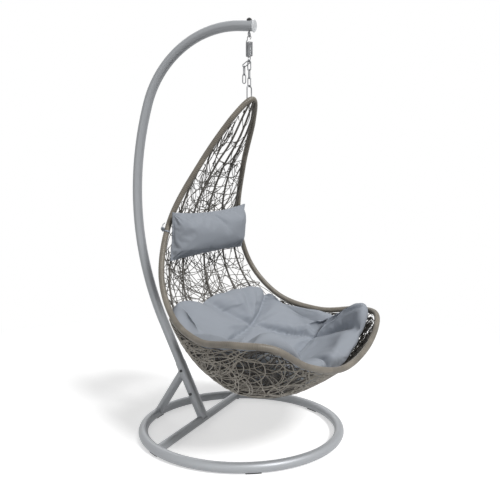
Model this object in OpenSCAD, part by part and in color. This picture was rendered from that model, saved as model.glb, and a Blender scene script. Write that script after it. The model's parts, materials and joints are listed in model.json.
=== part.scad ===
// Hanging teardrop chair on a curved one-arm stand.
// Millimetres, +Z up. The stand's plane of symmetry is X = ring_x and the seat faces -Y.
// The origin lies on the floor at the centre of the model's plan box.

/* [Base] */
// Outer diameter of the floor ring
ring_d = 1000; // [900:10:1200]
// Diameter of the floor ring's tube
ring_tube_d = 45; // [38:1:50]
// Wall of every stand tube
tube_wall = 1.5; // [1.2:0.1:2.5]
// Diameter of the crossbar tube
crossbar_d = 40; // [32:1:44]
// Distance of the crossbar behind the ring's centre
crossbar_back = 219; // [180:1:260]
// Height of the pads that lift the ring off the floor
pad_h = 2; // [1:0.5:4]
// Width of a floor pad across the tube
pad_w = 20; // [14:1:26]
// Arc of the ring that one pad covers, in degrees
pad_arc = 8; // [5:1:14]
// Number of floor pads
pad_count = 6; // [4:1:8]

/* [Mast] */
// Diameter of the mast tube
mast_d = 48; // [44:1:52]
// Lean of the mast's straight foot away from the seat, in degrees
mast_lean = 25.5; // [22:0.5:28]
// Length of the straight foot above the crossbar
mast_straight = 525; // [460:5:600]
// Centreline radius of the long bend behind the seat
back_bend_r = 1515; // [1350:5:1650]
// Forward lean where the long bend ends, in degrees
back_bend_end = 17.5; // [14:0.5:20]
// Centreline radius of the bend over the seat
top_bend_r = 475; // [430:5:520]
// Direction of the mast's tip from upright, in degrees
tip_turn = 98; // [94:0.5:102]
// Straight length at the mast's tip
tip_straight = 68; // [55:1:90]
// Diameter of the end cap's flange
end_cap_d = 58; // [52:1:66]
// Thickness of the end cap's flange
end_cap_t = 6; // [4:0.5:9]

/* [Mast socket] */
// Wall of the socket tube that the mast stands in
socket_wall = 1.8; // [1.5:0.1:3]
// Length of the socket along the mast
socket_len = 291; // [270:1:320]
// Radial clearance between mast and socket
socket_clear = 0.3; // [0.1:0.05:0.6]
// Distance from the crossbar's top to the mast's lower end
mast_seat = 60; // [40:5:90]
// Diameter of the brace tube behind the socket
brace_d = 43; // [34:1:44]
// Distance of the lower socket bolt above the crossbar
low_bolt_up = 120; // [105:1:140]
// Distance of the upper socket bolt above the crossbar
high_bolt_up = 246; // [225:1:258]
// Diameter of the bolts
bolt_d = 8; // [6:1:10]
// Radial clearance round a bolt
bolt_clear = 0.3; // [0.2:0.05:0.6]

/* [Hanger] */
// Distance of the eye bolt from the mast's tip
eye_from_tip = 22; // [20:1:28]
// Diameter of the eye bolt's rod
eye_rod_d = 7; // [5:0.5:8]
// Centreline radius of the eye
eye_r = 10; // [9:0.5:12]
// Length of rod between the mast and the eye's centre
eye_drop = 16; // [14:0.5:20]
// Diameter of the dome over the eye bolt's nut
dome_d = 26; // [24:1:32]
// Height of the dome over the mast
dome_h = 13; // [12:0.5:18]
// Diameter of the spring's wire
spring_wire = 4; // [3:0.5:5]
// Outer diameter of the spring
spring_d = 33; // [28:1:38]
// Number of the spring's curls
spring_curls = 14; // [10:1:18]
// Distance from one curl of the spring to the next
spring_pitch = 4.6; // [4.5:0.1:6]
// Centreline radius of the spring's top hook
hook_r = 9; // [8:0.5:11]
// Height from the spring to the loop of its top hook
hook_neck = 8; // [5:0.5:14]
// Centreline radius of the spring's lower hook
low_hook_r = 11; // [11:0.5:13]
// Height from the spring to the loop of its lower hook
low_hook_neck = 1; // [1:0.5:8]
// Diameter of the chain's wire
link_wire = 5; // [4:0.5:6]
// Outer width of a chain link
link_w = 20; // [18:0.5:26]
// Inside length of a chain link
link_pitch = 38; // [32:1:44]
// Gap where two links bear on each other
link_gap = 0.2; // [0.15:0.05:0.4]
// Gap between the spare chain and the first link of the main chain
spare_gap = 0.5; // [0.4:0.1:0.8]
// Lean of the spare chain's first link, in degrees
spare_lean = 58; // [50:1:64]
// Diameter of the hanging eye's rod
seat_eye_rod = 6; // [5:0.5:8]
// Outer width of the hanging eye on the rim
seat_eye_w = 40; // [32:1:48]
// Height of the hanging eye above the rim's axis
seat_eye_h = 70; // [54:1:80]

/* [Basket] */
// Half of the rim's greatest width
basket_half_w = 518; // [460:2:560]
// Reach of the rim's front lip ahead of the hanger
basket_reach = 520; // [470:2:560]
// Depth of the backrest behind the hanger
basket_back = 294; // [260:2:310]
// Height from the rim's front lip to its top
basket_h = 1202; // [1150:2:1230]
// Depth of the seat bowl below the front lip
bowl_depth = 163; // [120:1:180]
// Turn of the hanging basket on its chain at rest, in degrees
basket_turn = -14; // [-20:1:0]
// Diameter of the rim's steel tube
rim_tube_d = 22; // [20:1:26]
// Thickness of the strand wound round the rim tube
rim_wrap_t = 3; // [2:0.25:5]
// Diameter of the basket's ribs
rib_d = 8; // [6:0.5:10]
// Share of the half width where the inner pair of ribs runs
rib_inner = 0.5; // [0.4:0.02:0.58]
// Share of the half width where the outer pair of ribs runs
rib_outer = 0.8; // [0.74:0.02:0.86]
// Thickness of the woven skin
weave_t = 4; // [3:0.5:8]
// Openings across the woven back
net_across = 8; // [5:1:12]
// Openings down the woven back
net_down = 12; // [8:1:12]
// Share of the back's plain net that is open, along one way
net_open = 0.66; // [0.5:0.02:0.8]

/* [Cushions] */
// Thickness of the seat cushion at its crown
cushion_t = 120; // [90:2:150]
// Depth of a sewn tuft in the seat cushion
tuft_depth = 48; // [25:1:60]
// Length of the head pillow
pillow_l = 550; // [420:5:580]
// Height of the head pillow
pillow_h = 235; // [190:5:270]
// Thickness of the head pillow
pillow_t = 100; // [70:2:130]
// Height of the head pillow's centre below the rim's top
pillow_drop = 628; // [600:2:680]
// Lean of the head pillow's top towards the front, in degrees
pillow_lean = 9; // [0:0.5:12]
// Roll of the head pillow, left end up, in degrees
pillow_roll = 4.7; // [0:0.1:8]
// Head pillow: how far its seam lies behind its middle plane
pillow_sweep = 25; // [0:1:45]
// Width of the pillow's tie tapes
tie_w = 8; // [6:1:12]
// Thickness of the pillow's tie tapes
tie_t = 1; // [0.8:0.2:2]

/* [Hidden] */

$fn = 48;
fine = 96;
end_over = 1;
seat_gap = 0.3;
metal = "#9aa0a6";
zinc = "#b9bcc0";
wicker = "#877f72";
cloth = "#8d97a3";

// Stand: heights and the crossbar's length between the ring's inner sides
ring_c = (ring_d - ring_tube_d) / 2;
ring_z = pad_h + ring_tube_d / 2;
crossbar_half = sqrt(ring_c * ring_c - crossbar_back * crossbar_back);
foot_z = ring_z + crossbar_d / 2;
socket_d = mast_d + 2 * (socket_clear + socket_wall);

// Bent wire and tube paths: a step is [straight length, turn in degrees, bend radius].
// A path starts along +Z, and a positive turn bends it towards +Y.
function heading(steps, n) = n <= 0 ? 0 : heading(steps, n - 1) + steps[n - 1][1];
function step_move(s) =
    let (bend = abs(s[1]), side = s[1] < 0 ? -1 : 1, r = s[2])
    [side * r * (1 - cos(bend)), s[0] + r * sin(bend)];
function turned(p, a) = [p[0] * cos(a) + p[1] * sin(a), p[1] * cos(a) - p[0] * sin(a)];
function path_end(steps, n) = n <= 0 ? [0, 0]
    : path_end(steps, n - 1) + turned(step_move(steps[n - 1]), heading(steps, n - 1));

// Mast path in the plane of symmetry, from the crossbar's top
mast_steps = [
    [mast_straight, -(mast_lean + back_bend_end), back_bend_r],
    [0, back_bend_end - tip_turn, top_bend_r],
    [tip_straight, 0, 0]
];
mast_tip = turned(path_end(mast_steps, 3), mast_lean);
tip_dir = [sin(-tip_turn), cos(-tip_turn)];
tip_slope = tip_turn - 90;
hang_y = crossbar_back + mast_tip[0] - tip_dir[0] * eye_from_tip;
hang_z = foot_z + mast_tip[1] - tip_dir[1] * eye_from_tip;
mast_under = mast_d / 2 / cos(tip_slope);

// Hanger: heights along the vertical through the eye bolt
eye_z = hang_z - mast_under - eye_drop;
eye_low_z = eye_z - eye_r;
hook_top_z = eye_low_z + (eye_rod_d + spring_wire) / 2 + link_gap;
hook_top_c = hook_top_z - hook_r;
spring_top_z = hook_top_c - hook_r - hook_neck;
spring_r = (spring_d - spring_wire) / 2;
spring_stub = spring_wire;
spring_rings = 8;
spring_steps = round(spring_rings * (spring_curls + 0.25));
spring_h = spring_steps * spring_pitch / spring_rings + 2 * spring_stub;
spring_low_z = spring_top_z - spring_h;
hook_low_c = spring_low_z - low_hook_neck - low_hook_r;
hook_low_z = hook_low_c - low_hook_r;
link_c = (link_w - link_wire) / 2;
link_bear = link_wire + link_gap;
link_len = link_pitch + link_wire;
link_1_z = hook_low_z + (spring_wire + link_wire) / 2 + link_gap;
link_2_z = link_1_z - link_len + link_bear;
link_3_z = link_2_z - link_len + link_bear;
seat_eye_z = link_3_z - link_len + (link_wire + seat_eye_rod) / 2 + link_gap;
rim_top_z = seat_eye_z - seat_eye_h + seat_eye_rod / 2;

// The spare chain hangs beside the first link, on the same hook
spare_x = -link_wire - spare_gap;
spare_seat_r = low_hook_r - (spring_wire + link_wire) / 2 - link_gap;
spare_1_z = hook_low_c - sqrt(max(0, spare_seat_r * spare_seat_r - spare_x * spare_x));
spare_straight = link_len - 2 * link_c;
spare_end = [sin(spare_lean), -cos(spare_lean)] * spare_straight;
spare_2_y = hang_y + spare_end[0];
spare_2_z = spare_1_z - 2 * link_c + spare_end[1] + link_bear;
spare_3_z = spare_2_z - link_len + link_bear;

// Rim: one half of a closed loop, from its top over the side and the knee to the front lip.
// Each point is [share of half width, share of reach to the front, share of height up from the lip].
rim_shape = [
    [0, 0.04, 1],
    [0.15, -0.07, 0.928],
    [0.31, -0.313, 0.754],
    [0.492, -0.52, 0.538],
    [0.654, -0.487, 0.328],
    [0.8, -0.208, 0.178],
    [0.934, 0.21, 0.123],
    [1, 0.613, 0.139],
    [0.867, 0.879, 0.131],
    [0.514, 0.975, 0.047],
    [0, 1, 0]
];
lip_z = rim_top_z - basket_h;
rim_half = [for (p = rim_shape) [p[0] * basket_half_w, -p[1] * basket_reach, lip_z + p[2] * basket_h]];
rim_n = len(rim_half) - 1;
rim_loop = concat(rim_half, [for (i = [rim_n - 1 : -1 : 1]) [-rim_half[i][0], rim_half[i][1], rim_half[i][2]]]);

// Spine: the basket's lowest line in its plane of symmetry, from the rim's top down the
// back and under the seat. Back points are shares of the depth behind the hanger, seat
// points are shares of the reach, and depths below the lip are shares of the bowl's depth.
spine = [
    [0, rim_half[0][1], rim_top_z],
    [0, 0.22 * basket_back, lip_z + 0.864 * basket_h],
    [0, 0.588 * basket_back, lip_z + 0.743 * basket_h],
    [0, 0.857 * basket_back, lip_z + 0.61 * basket_h],
    [0, 0.997 * basket_back, lip_z + 0.463 * basket_h],
    [0, basket_back, lip_z + 0.313 * basket_h],
    [0, 0.786 * basket_back, lip_z + 0.169 * basket_h],
    [0, 0.432 * basket_back, lip_z + 0.035 * basket_h],
    [0, -0.006 * basket_reach, lip_z - 0.546 * bowl_depth],
    [0, -0.287 * basket_reach, lip_z - bowl_depth],
    [0, -0.617 * basket_reach, lip_z - 0.816 * bowl_depth],
    [0, -basket_reach, lip_z]
];
spine_n = len(spine) - 1;
bowl_power = 2.34;
rim_lag = 0.064;

// Vectors and curves
function unit(v) = v / norm(v);
function mix(a, b, t) = a + (b - a) * t;
function clamp01(t) = min(1, max(0, t));
function ease(t) = let (c = clamp01(t)) c * c * (3 - 2 * c);
function curve4(a, b, c, d, t) =
    0.5 * ((2 * b) + (c - a) * t + (2 * a - 5 * b + 4 * c - d) * t * t + (3 * b - a - 3 * c + d) * t * t * t);
function open_curve(list, u) =
    let (n = len(list) - 1, k = min(n - 1, max(0, floor(u))), t = u - k,
        a = k > 0 ? list[k - 1] : 2 * list[0] - list[1],
        d = k < n - 1 ? list[k + 2] : 2 * list[n] - list[n - 1])
    curve4(a, list[k], list[k + 1], d, t);
function loop_curve(list, u) =
    let (n = len(list), k = floor(u), t = u - k)
    curve4(list[(k + n - 1) % n], list[k % n], list[(k + 1) % n], list[(k + 2) % n], t);

// Bowl surface: station s runs from the rim's top (0) to its front lip (1), and angle q runs
// from the right side (-90) through the spine (0) to the left side (90).
function rim_at(s) = loop_curve(rim_loop, rim_n * (s - rim_lag * sin(180 * s)));
function spine_at(s) = open_curve(spine, spine_n * s);
function lobe(c) = pow(max(c, 0), 2 / bowl_power);
function side_of(q) = (q < 0 ? -1 : 1) * lobe(abs(sin(q)));
function bowl(s, q) =
    let (r = rim_at(s), m = spine_at(s), d = lobe(cos(q)))
    [r[0] * side_of(q), mix(r[1], m[1], d), mix(r[2], m[2], d)];
function bowl_out(s, q) =
    let (ds = 0.004, dq = 1.5, qa = max(q - dq, -89), qb = min(q + dq, 89),
        along = bowl(min(s + ds, 1), q) - bowl(max(s - ds, 0), q),
        across = bowl(s, qb) - bowl(s, qa))
    unit(cross(across, along));
function on_bowl(s, q, in) = bowl(s, q) - in * bowl_out(s, q);

// Angle at which the surface comes clear of the rim by the given distance
function line_gap(p, a, b) = norm(p - a - clamp01((p - a) * (b - a) / ((b - a) * (b - a))) * (b - a));
function rim_gap(p) = min([for (k = [0 : rim_rings - 1]) line_gap(p, rim_line[k], rim_line[(k + 1) % rim_rings])]);
function edge_angle(s, off, low = 0, high = 90, n = 9) =
    let (q = (low + high) / 2)
    n == 0 ? low
    : rim_gap(bowl(s, q)) >= off ? edge_angle(s, off, q, high, n - 1) : edge_angle(s, off, low, q, n - 1);

// Swept tube: a ring of points round each path point, turned to face the inner point
rim_r = rim_tube_d / 2 + rim_wrap_t;
rim_rings = 80;
rim_line = [for (k = [0 : rim_rings - 1]) loop_curve(rim_loop, 2 * rim_n * k / rim_rings)];
basket_mid = [0, -0.1 * basket_reach, lip_z + 0.45 * basket_h];
function ring_frame(p, t, inner) = let (v = inner - p, n = unit(v - t * (v * t))) [n, cross(t, n)];
function tube_ring(p, t, inner, r, sides) =
    let (f = ring_frame(p, t, inner))
    [for (k = [0 : sides - 1]) p + r * (cos(360 * k / sides) * f[0] + sin(360 * k / sides) * f[1])];
function wall_faces(rings, sides, closed) = [
    for (i = [0 : rings - (closed ? 1 : 2)]) for (k = [0 : sides - 1])
        let (a = i * sides + k, b = i * sides + (k + 1) % sides,
            c = ((i + 1) % rings) * sides + k, d = ((i + 1) % rings) * sides + (k + 1) % sides)
        each [[a, c, b], [b, c, d]]
];
function fan(first, sides, flip) = [
    for (k = [1 : sides - 2]) flip ? [first, first + k + 1, first + k] : [first, first + k, first + k + 1]
];

module swept_loop(points, inner, r, sides) {
    n = len(points);
    rings = [for (i = [0 : n - 1])
        each tube_ring(points[i], unit(points[(i + 1) % n] - points[(i + n - 1) % n]), inner, r, sides)];
    polyhedron(rings, wall_faces(n, sides, true), convexity = 10);
}

module swept_rod(points, inner, r, sides) {
    n = len(points);
    rings = [for (i = [0 : n - 1])
        each tube_ring(points[i], unit(points[min(i + 1, n - 1)] - points[max(i - 1, 0)]), inner, r, sides)];
    faces = concat(wall_faces(n, sides, false), fan(0, sides, false), fan((n - 1) * sides, sides, true));
    polyhedron(rings, faces, convexity = 10);
}

// Ribs run on the bowl's inner side: share of the half width at a station, then the angle for it
rib_in = weave_t + rib_d / 2 + 1.1;
wide_s = 0.745;
function rib_share(f, s, on) =
    s < wide_s ? mix(1, f, ease((s - on) / 0.12)) : min(1, f * rim_at(wide_s)[0] / rim_at(s)[0]);
function share_angle(f) = asin(pow(min(1, f), bowl_power / 2));
function rib_at(f, s, on) = on_bowl(s, share_angle(rib_share(f, s, on)), rib_in);
function rib_start(f, on, s) =
    s > 0.7 || rim_gap(rib_at(f, s, on)) >= rim_r + rib_d / 2 + 0.3 ? s : rib_start(f, on, s + 0.002);
function rib_stop(f, on, s) =
    s < 0.7 || rim_gap(rib_at(f, s, on)) >= rim_r + 0.5 ? s : rib_stop(f, on, s - 0.002);

// Placing: the model's plan box is centred on the origin
plan = [for (p = rim_line) [
    cos(basket_turn) * p[0] - sin(basket_turn) * p[1],
    sin(basket_turn) * p[0] + cos(basket_turn) * p[1] + hang_y]];
plan_x = [for (p = plan) p[0]];
plan_y = [for (p = plan) p[1]];
mast_back = crossbar_back + mast_straight * sin(mast_lean) + back_bend_r * (1 - cos(mast_lean)) + mast_d / 2;
ring_x = -(max(ring_d / 2, max(plan_x) + rim_r) + min(-ring_d / 2, min(plan_x) - rim_r)) / 2;
ring_y = -(max(mast_back, max(plan_y) + rim_r) + min(-ring_d / 2, min(plan_y) - rim_r)) / 2;

module placed() translate([ring_x, ring_y, 0]) children();
module hung() placed() translate([0, hang_y, 0]) children();
module in_basket() hung() rotate([0, 0, basket_turn]) children();
module on_foot() placed() translate([0, crossbar_back, foot_z]) rotate([-mast_lean, 0, 0]) children();
module at_tip()
    placed()
        translate([0, crossbar_back + mast_tip[0], foot_z + mast_tip[1]])
            rotate([tip_turn, 0, 0])
                children();

// Tubes
module tube_section(r, bore) {
    difference() {
        circle(r = r);
        if (bore > 0) circle(r = bore);
    }
}

module bend(turn, bend_r, r, bore) {
    if (turn < 0) {
        mirror([0, 1, 0]) bend(-turn, bend_r, r, bore);
    } else {
        translate([0, bend_r, 0])
            rotate([90, 0, -90])
                rotate_extrude(angle = turn, $fn = fine)
                    translate([bend_r, 0])
                        tube_section(r, bore);
    }
}

// Each piece of a bent tube reaches a little into the one before and is a hair slimmer
module bent_tube(steps, r, bore, collar, i = 0) {
    if (i < len(steps)) {
        s = steps[i];
        m = step_move([0, s[1], s[2]]);
        reach = 0.2;
        sink = i > 0 ? reach : 0;
        slim = 0.02 * i;
        hole = bore > 0 ? bore + slim : 0;
        if (s[0] + sink > 0) {
            translate([0, 0, -sink]) linear_extrude(s[0] + sink) tube_section(r - slim, hole);
        }
        translate([0, 0, s[0]]) {
            if (s[1] != 0) bend(s[1], s[2], r - slim, hole);
            translate([0, m[0], m[1]])
                rotate([-s[1], 0, 0]) {
                    if (collar && i < len(steps) - 1) {
                        linear_extrude(reach) tube_section(r - slim, hole);
                    }
                    bent_tube(steps, r, bore, collar, i + 1);
                }
        }
    }
}

module ring_solid(r) {
    placed()
        translate([0, 0, ring_z])
            rotate_extrude($fn = fine)
                translate([ring_c, 0])
                    circle(r = r);
}

module crossbar_solid() {
    placed()
        translate([0, crossbar_back, ring_z])
            rotate([0, 90, 0])
                cylinder(d = crossbar_d, h = 2 * crossbar_half, center = true);
}

module socket_solid(d, over) {
    on_foot() translate([0, 0, -14 - over]) cylinder(d = d, h = socket_len + 14 + 2 * over);
}

// Stand
module base_ring() {
    color(metal)
        placed()
            translate([0, 0, ring_z])
                rotate_extrude($fn = fine)
                    translate([ring_c, 0])
                        tube_section(ring_tube_d / 2, ring_tube_d / 2 - tube_wall);
}

module crossbar() {
    color(metal)
        difference() {
            crossbar_solid();
            placed()
                translate([0, crossbar_back, ring_z])
                    rotate([0, 90, 0])
                        cylinder(d = crossbar_d - 2 * tube_wall, h = 2 * crossbar_half + 2, center = true);
            ring_solid(ring_tube_d / 2);
        }
}

module floor_pads() {
    color("#2b2b2b")
        for (k = [0 : pad_count - 1])
            placed()
                rotate([0, 0, 360 * (k + 0.5) / pad_count - pad_arc / 2])
                    rotate_extrude(angle = pad_arc, $fn = fine)
                        translate([ring_c - pad_w / 2, 0])
                            square([pad_w, pad_h]);
}

module bolt_holes() {
    for (up = [low_bolt_up, high_bolt_up])
        translate([0, 0, up])
            rotate([0, 90, 0])
                cylinder(r = bolt_d / 2 + bolt_clear, h = 2 * socket_d, center = true);
}

module mast_socket() {
    color(metal)
        difference() {
            socket_solid(socket_d, 0);
            socket_solid(mast_d + 2 * socket_clear, end_over);
            crossbar_solid();
            on_foot() bolt_holes();
        }
}

module brace() {
    foot = [ring_c, ring_z];
    head = [crossbar_back + (high_bolt_up - 3) * sin(mast_lean), foot_z + (high_bolt_up - 3) * cos(mast_lean)];
    run = head - foot;
    color(metal)
        difference() {
            placed()
                translate([0, foot[0], foot[1]])
                    rotate([-atan2(run[0], run[1]), 0, 0])
                        linear_extrude(norm(run))
                            tube_section(brace_d / 2, brace_d / 2 - tube_wall);
            ring_solid(ring_tube_d / 2);
            socket_solid(socket_d, end_over);
        }
}

module mast() {
    steps = [[mast_straight - mast_seat, mast_steps[0][1], mast_steps[0][2]], mast_steps[1], mast_steps[2]];
    color(metal)
        difference() {
            on_foot() translate([0, 0, mast_seat]) bent_tube(steps, mast_d / 2, mast_d / 2 - tube_wall, false);
            on_foot() bolt_holes();
            hung() translate([0, 0, hang_z - mast_d]) cylinder(d = eye_rod_d + 0.6, h = 2 * mast_d);
        }
}

module end_cap() {
    plug_r = mast_d / 2 - tube_wall - 0.1;
    color("#d3d6d9")
        at_tip()
            rotate_extrude($fn = fine)
                polygon([
                    [0, 0.1], [0, end_cap_t + 1.5], [4, end_cap_t + 1], [6, end_cap_t - 1], [9, end_cap_t - 1],
                    [10, end_cap_t], [14, end_cap_t], [15, end_cap_t - 1], [18, end_cap_t - 1], [19, end_cap_t],
                    [end_cap_d / 2 - 3, end_cap_t], [end_cap_d / 2, end_cap_t - 3], [end_cap_d / 2, 2],
                    [end_cap_d / 2 - 1.9, 0.1], [plug_r, 0.1], [plug_r, -12], [plug_r - 2, -12], [plug_r - 2, 0.1]]);
}

module socket_bolts() {
    color("#3a3b3d")
        on_foot()
            for (up = [low_bolt_up, high_bolt_up])
                translate([-socket_d / 2, 0, up])
                    rotate([0, 90, 0])
                        union() {
                            translate([0, 0, -4.5]) cylinder(d = 1.7 * bolt_d, h = 4.5);
                            cylinder(d = bolt_d, h = socket_d + 10);
                        }
}

module socket_nuts() {
    color("#3a3b3d")
        on_foot()
            for (up = [low_bolt_up, high_bolt_up])
                translate([socket_d / 2, 0, up])
                    rotate([0, 90, 0])
                        difference() {
                            cylinder(d = 1.85 * bolt_d, h = 6.5, $fn = 6);
                            translate([0, 0, -1]) cylinder(d = bolt_d, h = 9);
                        }
}

// Hanger
module mast_tip_solid() {
    at_tip() translate([0, 0, -2 * eye_from_tip]) cylinder(d = mast_d, h = 4 * eye_from_tip);
}

module eye_bolt() {
    color(zinc)
        hung() {
            translate([0, 0, eye_z])
                rotate([90, 0, 0])
                    rotate_extrude($fn = fine)
                        translate([eye_r, 0])
                            circle(d = eye_rod_d);
            translate([0, 0, eye_z + eye_r]) cylinder(d = eye_rod_d, h = 2 * mast_under + eye_drop - eye_r + 10);
        }
}

module eye_bolt_washer() {
    color(zinc)
        difference() {
            hung() translate([0, 0, hang_z]) cylinder(d = 18, h = mast_under + 2.5);
            hung() translate([0, 0, hang_z - 1]) cylinder(d = eye_rod_d, h = mast_under + 5);
            mast_tip_solid();
        }
}

module eye_bolt_nut() {
    color(zinc)
        hung()
            translate([0, 0, hang_z + mast_under + 2.5])
                difference() {
                    cylinder(d = 14.5, h = 5, $fn = 6);
                    translate([0, 0, -1]) cylinder(d = eye_rod_d, h = 7);
                }
}

module dome_cap() {
    color("#1f2022")
        difference() {
            hung()
                translate([0, 0, hang_z + mast_under]) {
                    translate([0, 0, -3])
                        difference() {
                            cylinder(d = dome_d, h = 3);
                            translate([0, 0, -1]) cylinder(d = dome_d - 3, h = 5);
                        }
                    rotate_extrude()
                        intersection() {
                            difference() {
                                circle(r = dome_d / 2);
                                circle(r = dome_d / 2 - 1.5);
                            }
                            square(dome_d);
                        }
                }
            mast_tip_solid();
        }
}

module hook_shape(r, neck) {
    jog = spring_r - r;
    rise = r + neck - 2 * jog * sin(60);
    translate([0, spring_r, 0])
        bent_tube([[0, -60, jog], [0, 60, jog], [rise, -250, r]], spring_wire / 2, 0, true);
}

module spring_top_hook() {
    color(zinc) hung() translate([0, 0, spring_top_z]) hook_shape(hook_r, hook_neck);
}

module spring_bottom_hook() {
    color(zinc)
        hung()
            translate([0, 0, spring_low_z])
                rotate([180, 0, 90])
                    hook_shape(low_hook_r, low_hook_neck);
}

function coil_point(k) =
    let (a = 360 * k / spring_rings)
    [spring_r * cos(a), spring_r * sin(a), spring_low_z + spring_stub + spring_pitch * k / spring_rings];
function coil_ring(path, i) =
    let (n = len(path), p = path[i], t = unit(path[min(i + 1, n - 1)] - path[max(i - 1, 0)]))
    tube_ring(p, i == 0 || i == n - 1 ? [0, 0, 1] : t, [0, 0, p[2]], spring_wire / 2, 6);

module spring() {
    low = coil_point(0) - [0, 0, spring_stub];
    high = coil_point(spring_steps) + [0, 0, spring_stub];
    path = concat([low], [for (k = [0 : spring_steps]) coil_point(k)], [high]);
    n = len(path);
    rings = [for (i = [0 : n - 1]) coil_ring(path, i)];
    gaps = [for (i = [0 : n - 1 - spring_rings]) for (a = rings[i]) for (b = rings[i + spring_rings]) norm(a - b)];
    echo(spring_least_gap = min(gaps));
    color(zinc)
        hung()
            polyhedron(
                [for (ring = rings) each ring],
                concat(wall_faces(n, 6, false), fan(0, 6, false), fan((n - 1) * 6, 6, true)),
                convexity = 10);
}

module chain_link() {
    straight = link_len - 2 * link_c;
    union() {
        for (side = [0, 1])
            translate([0, 0, side == 0 ? -link_c : -link_c - straight])
                mirror([0, 0, side])
                    rotate([90, 0, 90])
                        rotate_extrude(angle = 180, $fn = fine)
                            translate([link_c, 0])
                                circle(d = link_wire);
        for (y = [-link_c, link_c])
            translate([0, y, -link_c - straight]) cylinder(d = link_wire, h = straight);
    }
}

module chain_link_1() color(zinc) hung() translate([0, 0, link_1_z]) chain_link();
module chain_link_2() color(zinc) hung() translate([0, 0, link_2_z]) rotate([0, 0, 90]) chain_link();
module chain_link_3() color(zinc) hung() translate([0, 0, link_3_z]) rotate([0, 0, basket_turn / 2]) chain_link();
module spare_link_1()
    color(zinc)
        hung()
            translate([spare_x, 0, spare_1_z - link_c])
                rotate([spare_lean, 0, 0])
                    translate([0, 0, link_c])
                        chain_link();
module spare_link_2()
    color(zinc) placed() translate([spare_x, spare_2_y, spare_2_z]) rotate([0, 0, 90]) chain_link();
module spare_link_3() color(zinc) placed() translate([spare_x, spare_2_y, spare_3_z]) chain_link();

module hanging_eye() {
    c = (seat_eye_w - seat_eye_rod) / 2;
    top = seat_eye_z - c;
    u = c / rim_half[1][0];
    foot = loop_curve(rim_loop, u);
    slope = loop_curve(rim_loop, u + 0.05) - loop_curve(rim_loop, u - 0.05);
    lean = atan2(slope[2], slope[0]);
    leg = round(top - foot[2]);
    color(zinc)
        in_basket()
            difference() {
                translate([0, 0, top]) {
                    rotate([90, 0, 0])
                        rotate_extrude(angle = 180, $fn = fine)
                            translate([c, 0])
                                circle(d = seat_eye_rod);
                    for (x = [-c, c])
                        translate([x, 0, -leg]) cylinder(d = seat_eye_rod, h = leg);
                }
                for (side = [-1, 1])
                    translate([side * foot[0], foot[1], foot[2]])
                        rotate([0, 90 - side * lean, 0])
                            cylinder(r = rim_r + 0.05, h = 3 * rim_r, center = true);
            }
}

// Basket
module rim_tube() {
    color(metal)
        in_basket()
            difference() {
                swept_loop(rim_line, basket_mid, rim_tube_d / 2, 8);
                swept_loop(rim_line, basket_mid, rim_tube_d / 2 - tube_wall, 8);
            }
}

module rim_wrap() {
    color(wicker)
        in_basket()
            difference() {
                swept_loop(rim_line, basket_mid, rim_r, 8);
                swept_loop(rim_line, basket_mid, rim_tube_d / 2, 8);
            }
}

module rib(f, on, side, n) {
    first = rib_start(f, on, max(0.01, on));
    last = rib_stop(f, on, 0.998);
    path = [for (k = [0 : n]) rib_at(f, mix(first, last, k / n), on)];
    color(wicker)
        in_basket()
            mirror([side < 0 ? 1 : 0, 0, 0])
                swept_rod(path, basket_mid, rib_d / 2, 6);
}

module rib_centre() rib(0, -0.12, 1, 32);
module rib_inner_left() rib(rib_inner, 0.02, 1, 30);
module rib_inner_right() rib(rib_inner, 0.02, -1, 30);
module rib_outer_left() rib(rib_outer, 0.26, 1, 24);
module rib_outer_right() rib(rib_outer, 0.26, -1, 24);

// Woven skin between two stations, a closed thin sheet that stops short of the rim.
// Rows and columns are shares of its length and girth, and open(i, j) says which cells are openings.
function even(n) = [for (i = [0 : n]) i / n];
function bars(n, gap) = [0, for (k = [0 : n - 1]) each [k + 0.5 - gap / 2, k + 0.5, k + 0.5 + gap / 2] / n, 1];
function is_open(i, j, net) = net && i % 3 != 0 && j % 3 != 0;
module skin(from, to, rows, cols, net) {
    off = rim_r + tie_t + 1.5;
    n = len(rows) - 1;
    m = len(cols) - 1;
    angles = [for (r = rows) edge_angle(mix(from, to, r), off)];
    outer = [for (i = [0 : n]) for (c = cols) bowl(mix(from, to, rows[i]), angles[i] * (2 * c - 1))];
    inner = [for (i = [0 : n]) for (c = cols)
        on_bowl(mix(from, to, rows[i]), angles[i] * (2 * c - 1), weave_t)];
    w = m + 1;
    half = w * (n + 1);
    faces = [for (i = [0 : n - 1]) for (j = [0 : m - 1]) if (!is_open(i, j, net))
        let (
            a = i * w + j,
            edges = [
                [i == 0 || is_open(i - 1, j, net), a, a + 1],
                [i == n - 1 || is_open(i + 1, j, net), a + w + 1, a + w],
                [j == 0 || is_open(i, j - 1, net), a + w, a],
                [j == m - 1 || is_open(i, j + 1, net), a + 1, a + w + 1]
            ])
        each concat(
            [[a, a + 1, a + w], [a + 1, a + w + 1, a + w],
                [half + a, half + a + w, half + a + 1], [half + a + 1, half + a + w, half + a + w + 1]],
            [for (e = edges) if (e[0])
                each [[e[1], half + e[1], e[2]], [e[2], half + e[1], half + e[2]]]])];
    color(wicker) in_basket() polyhedron(concat(outer, inner), faces, convexity = 10);
}

module back_weave() skin(0.05, 0.4998, bars(net_down, net_open), bars(net_across, net_open), true);
module seat_weave() skin(0.5, 0.985, even(32), even(24), false);

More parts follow.
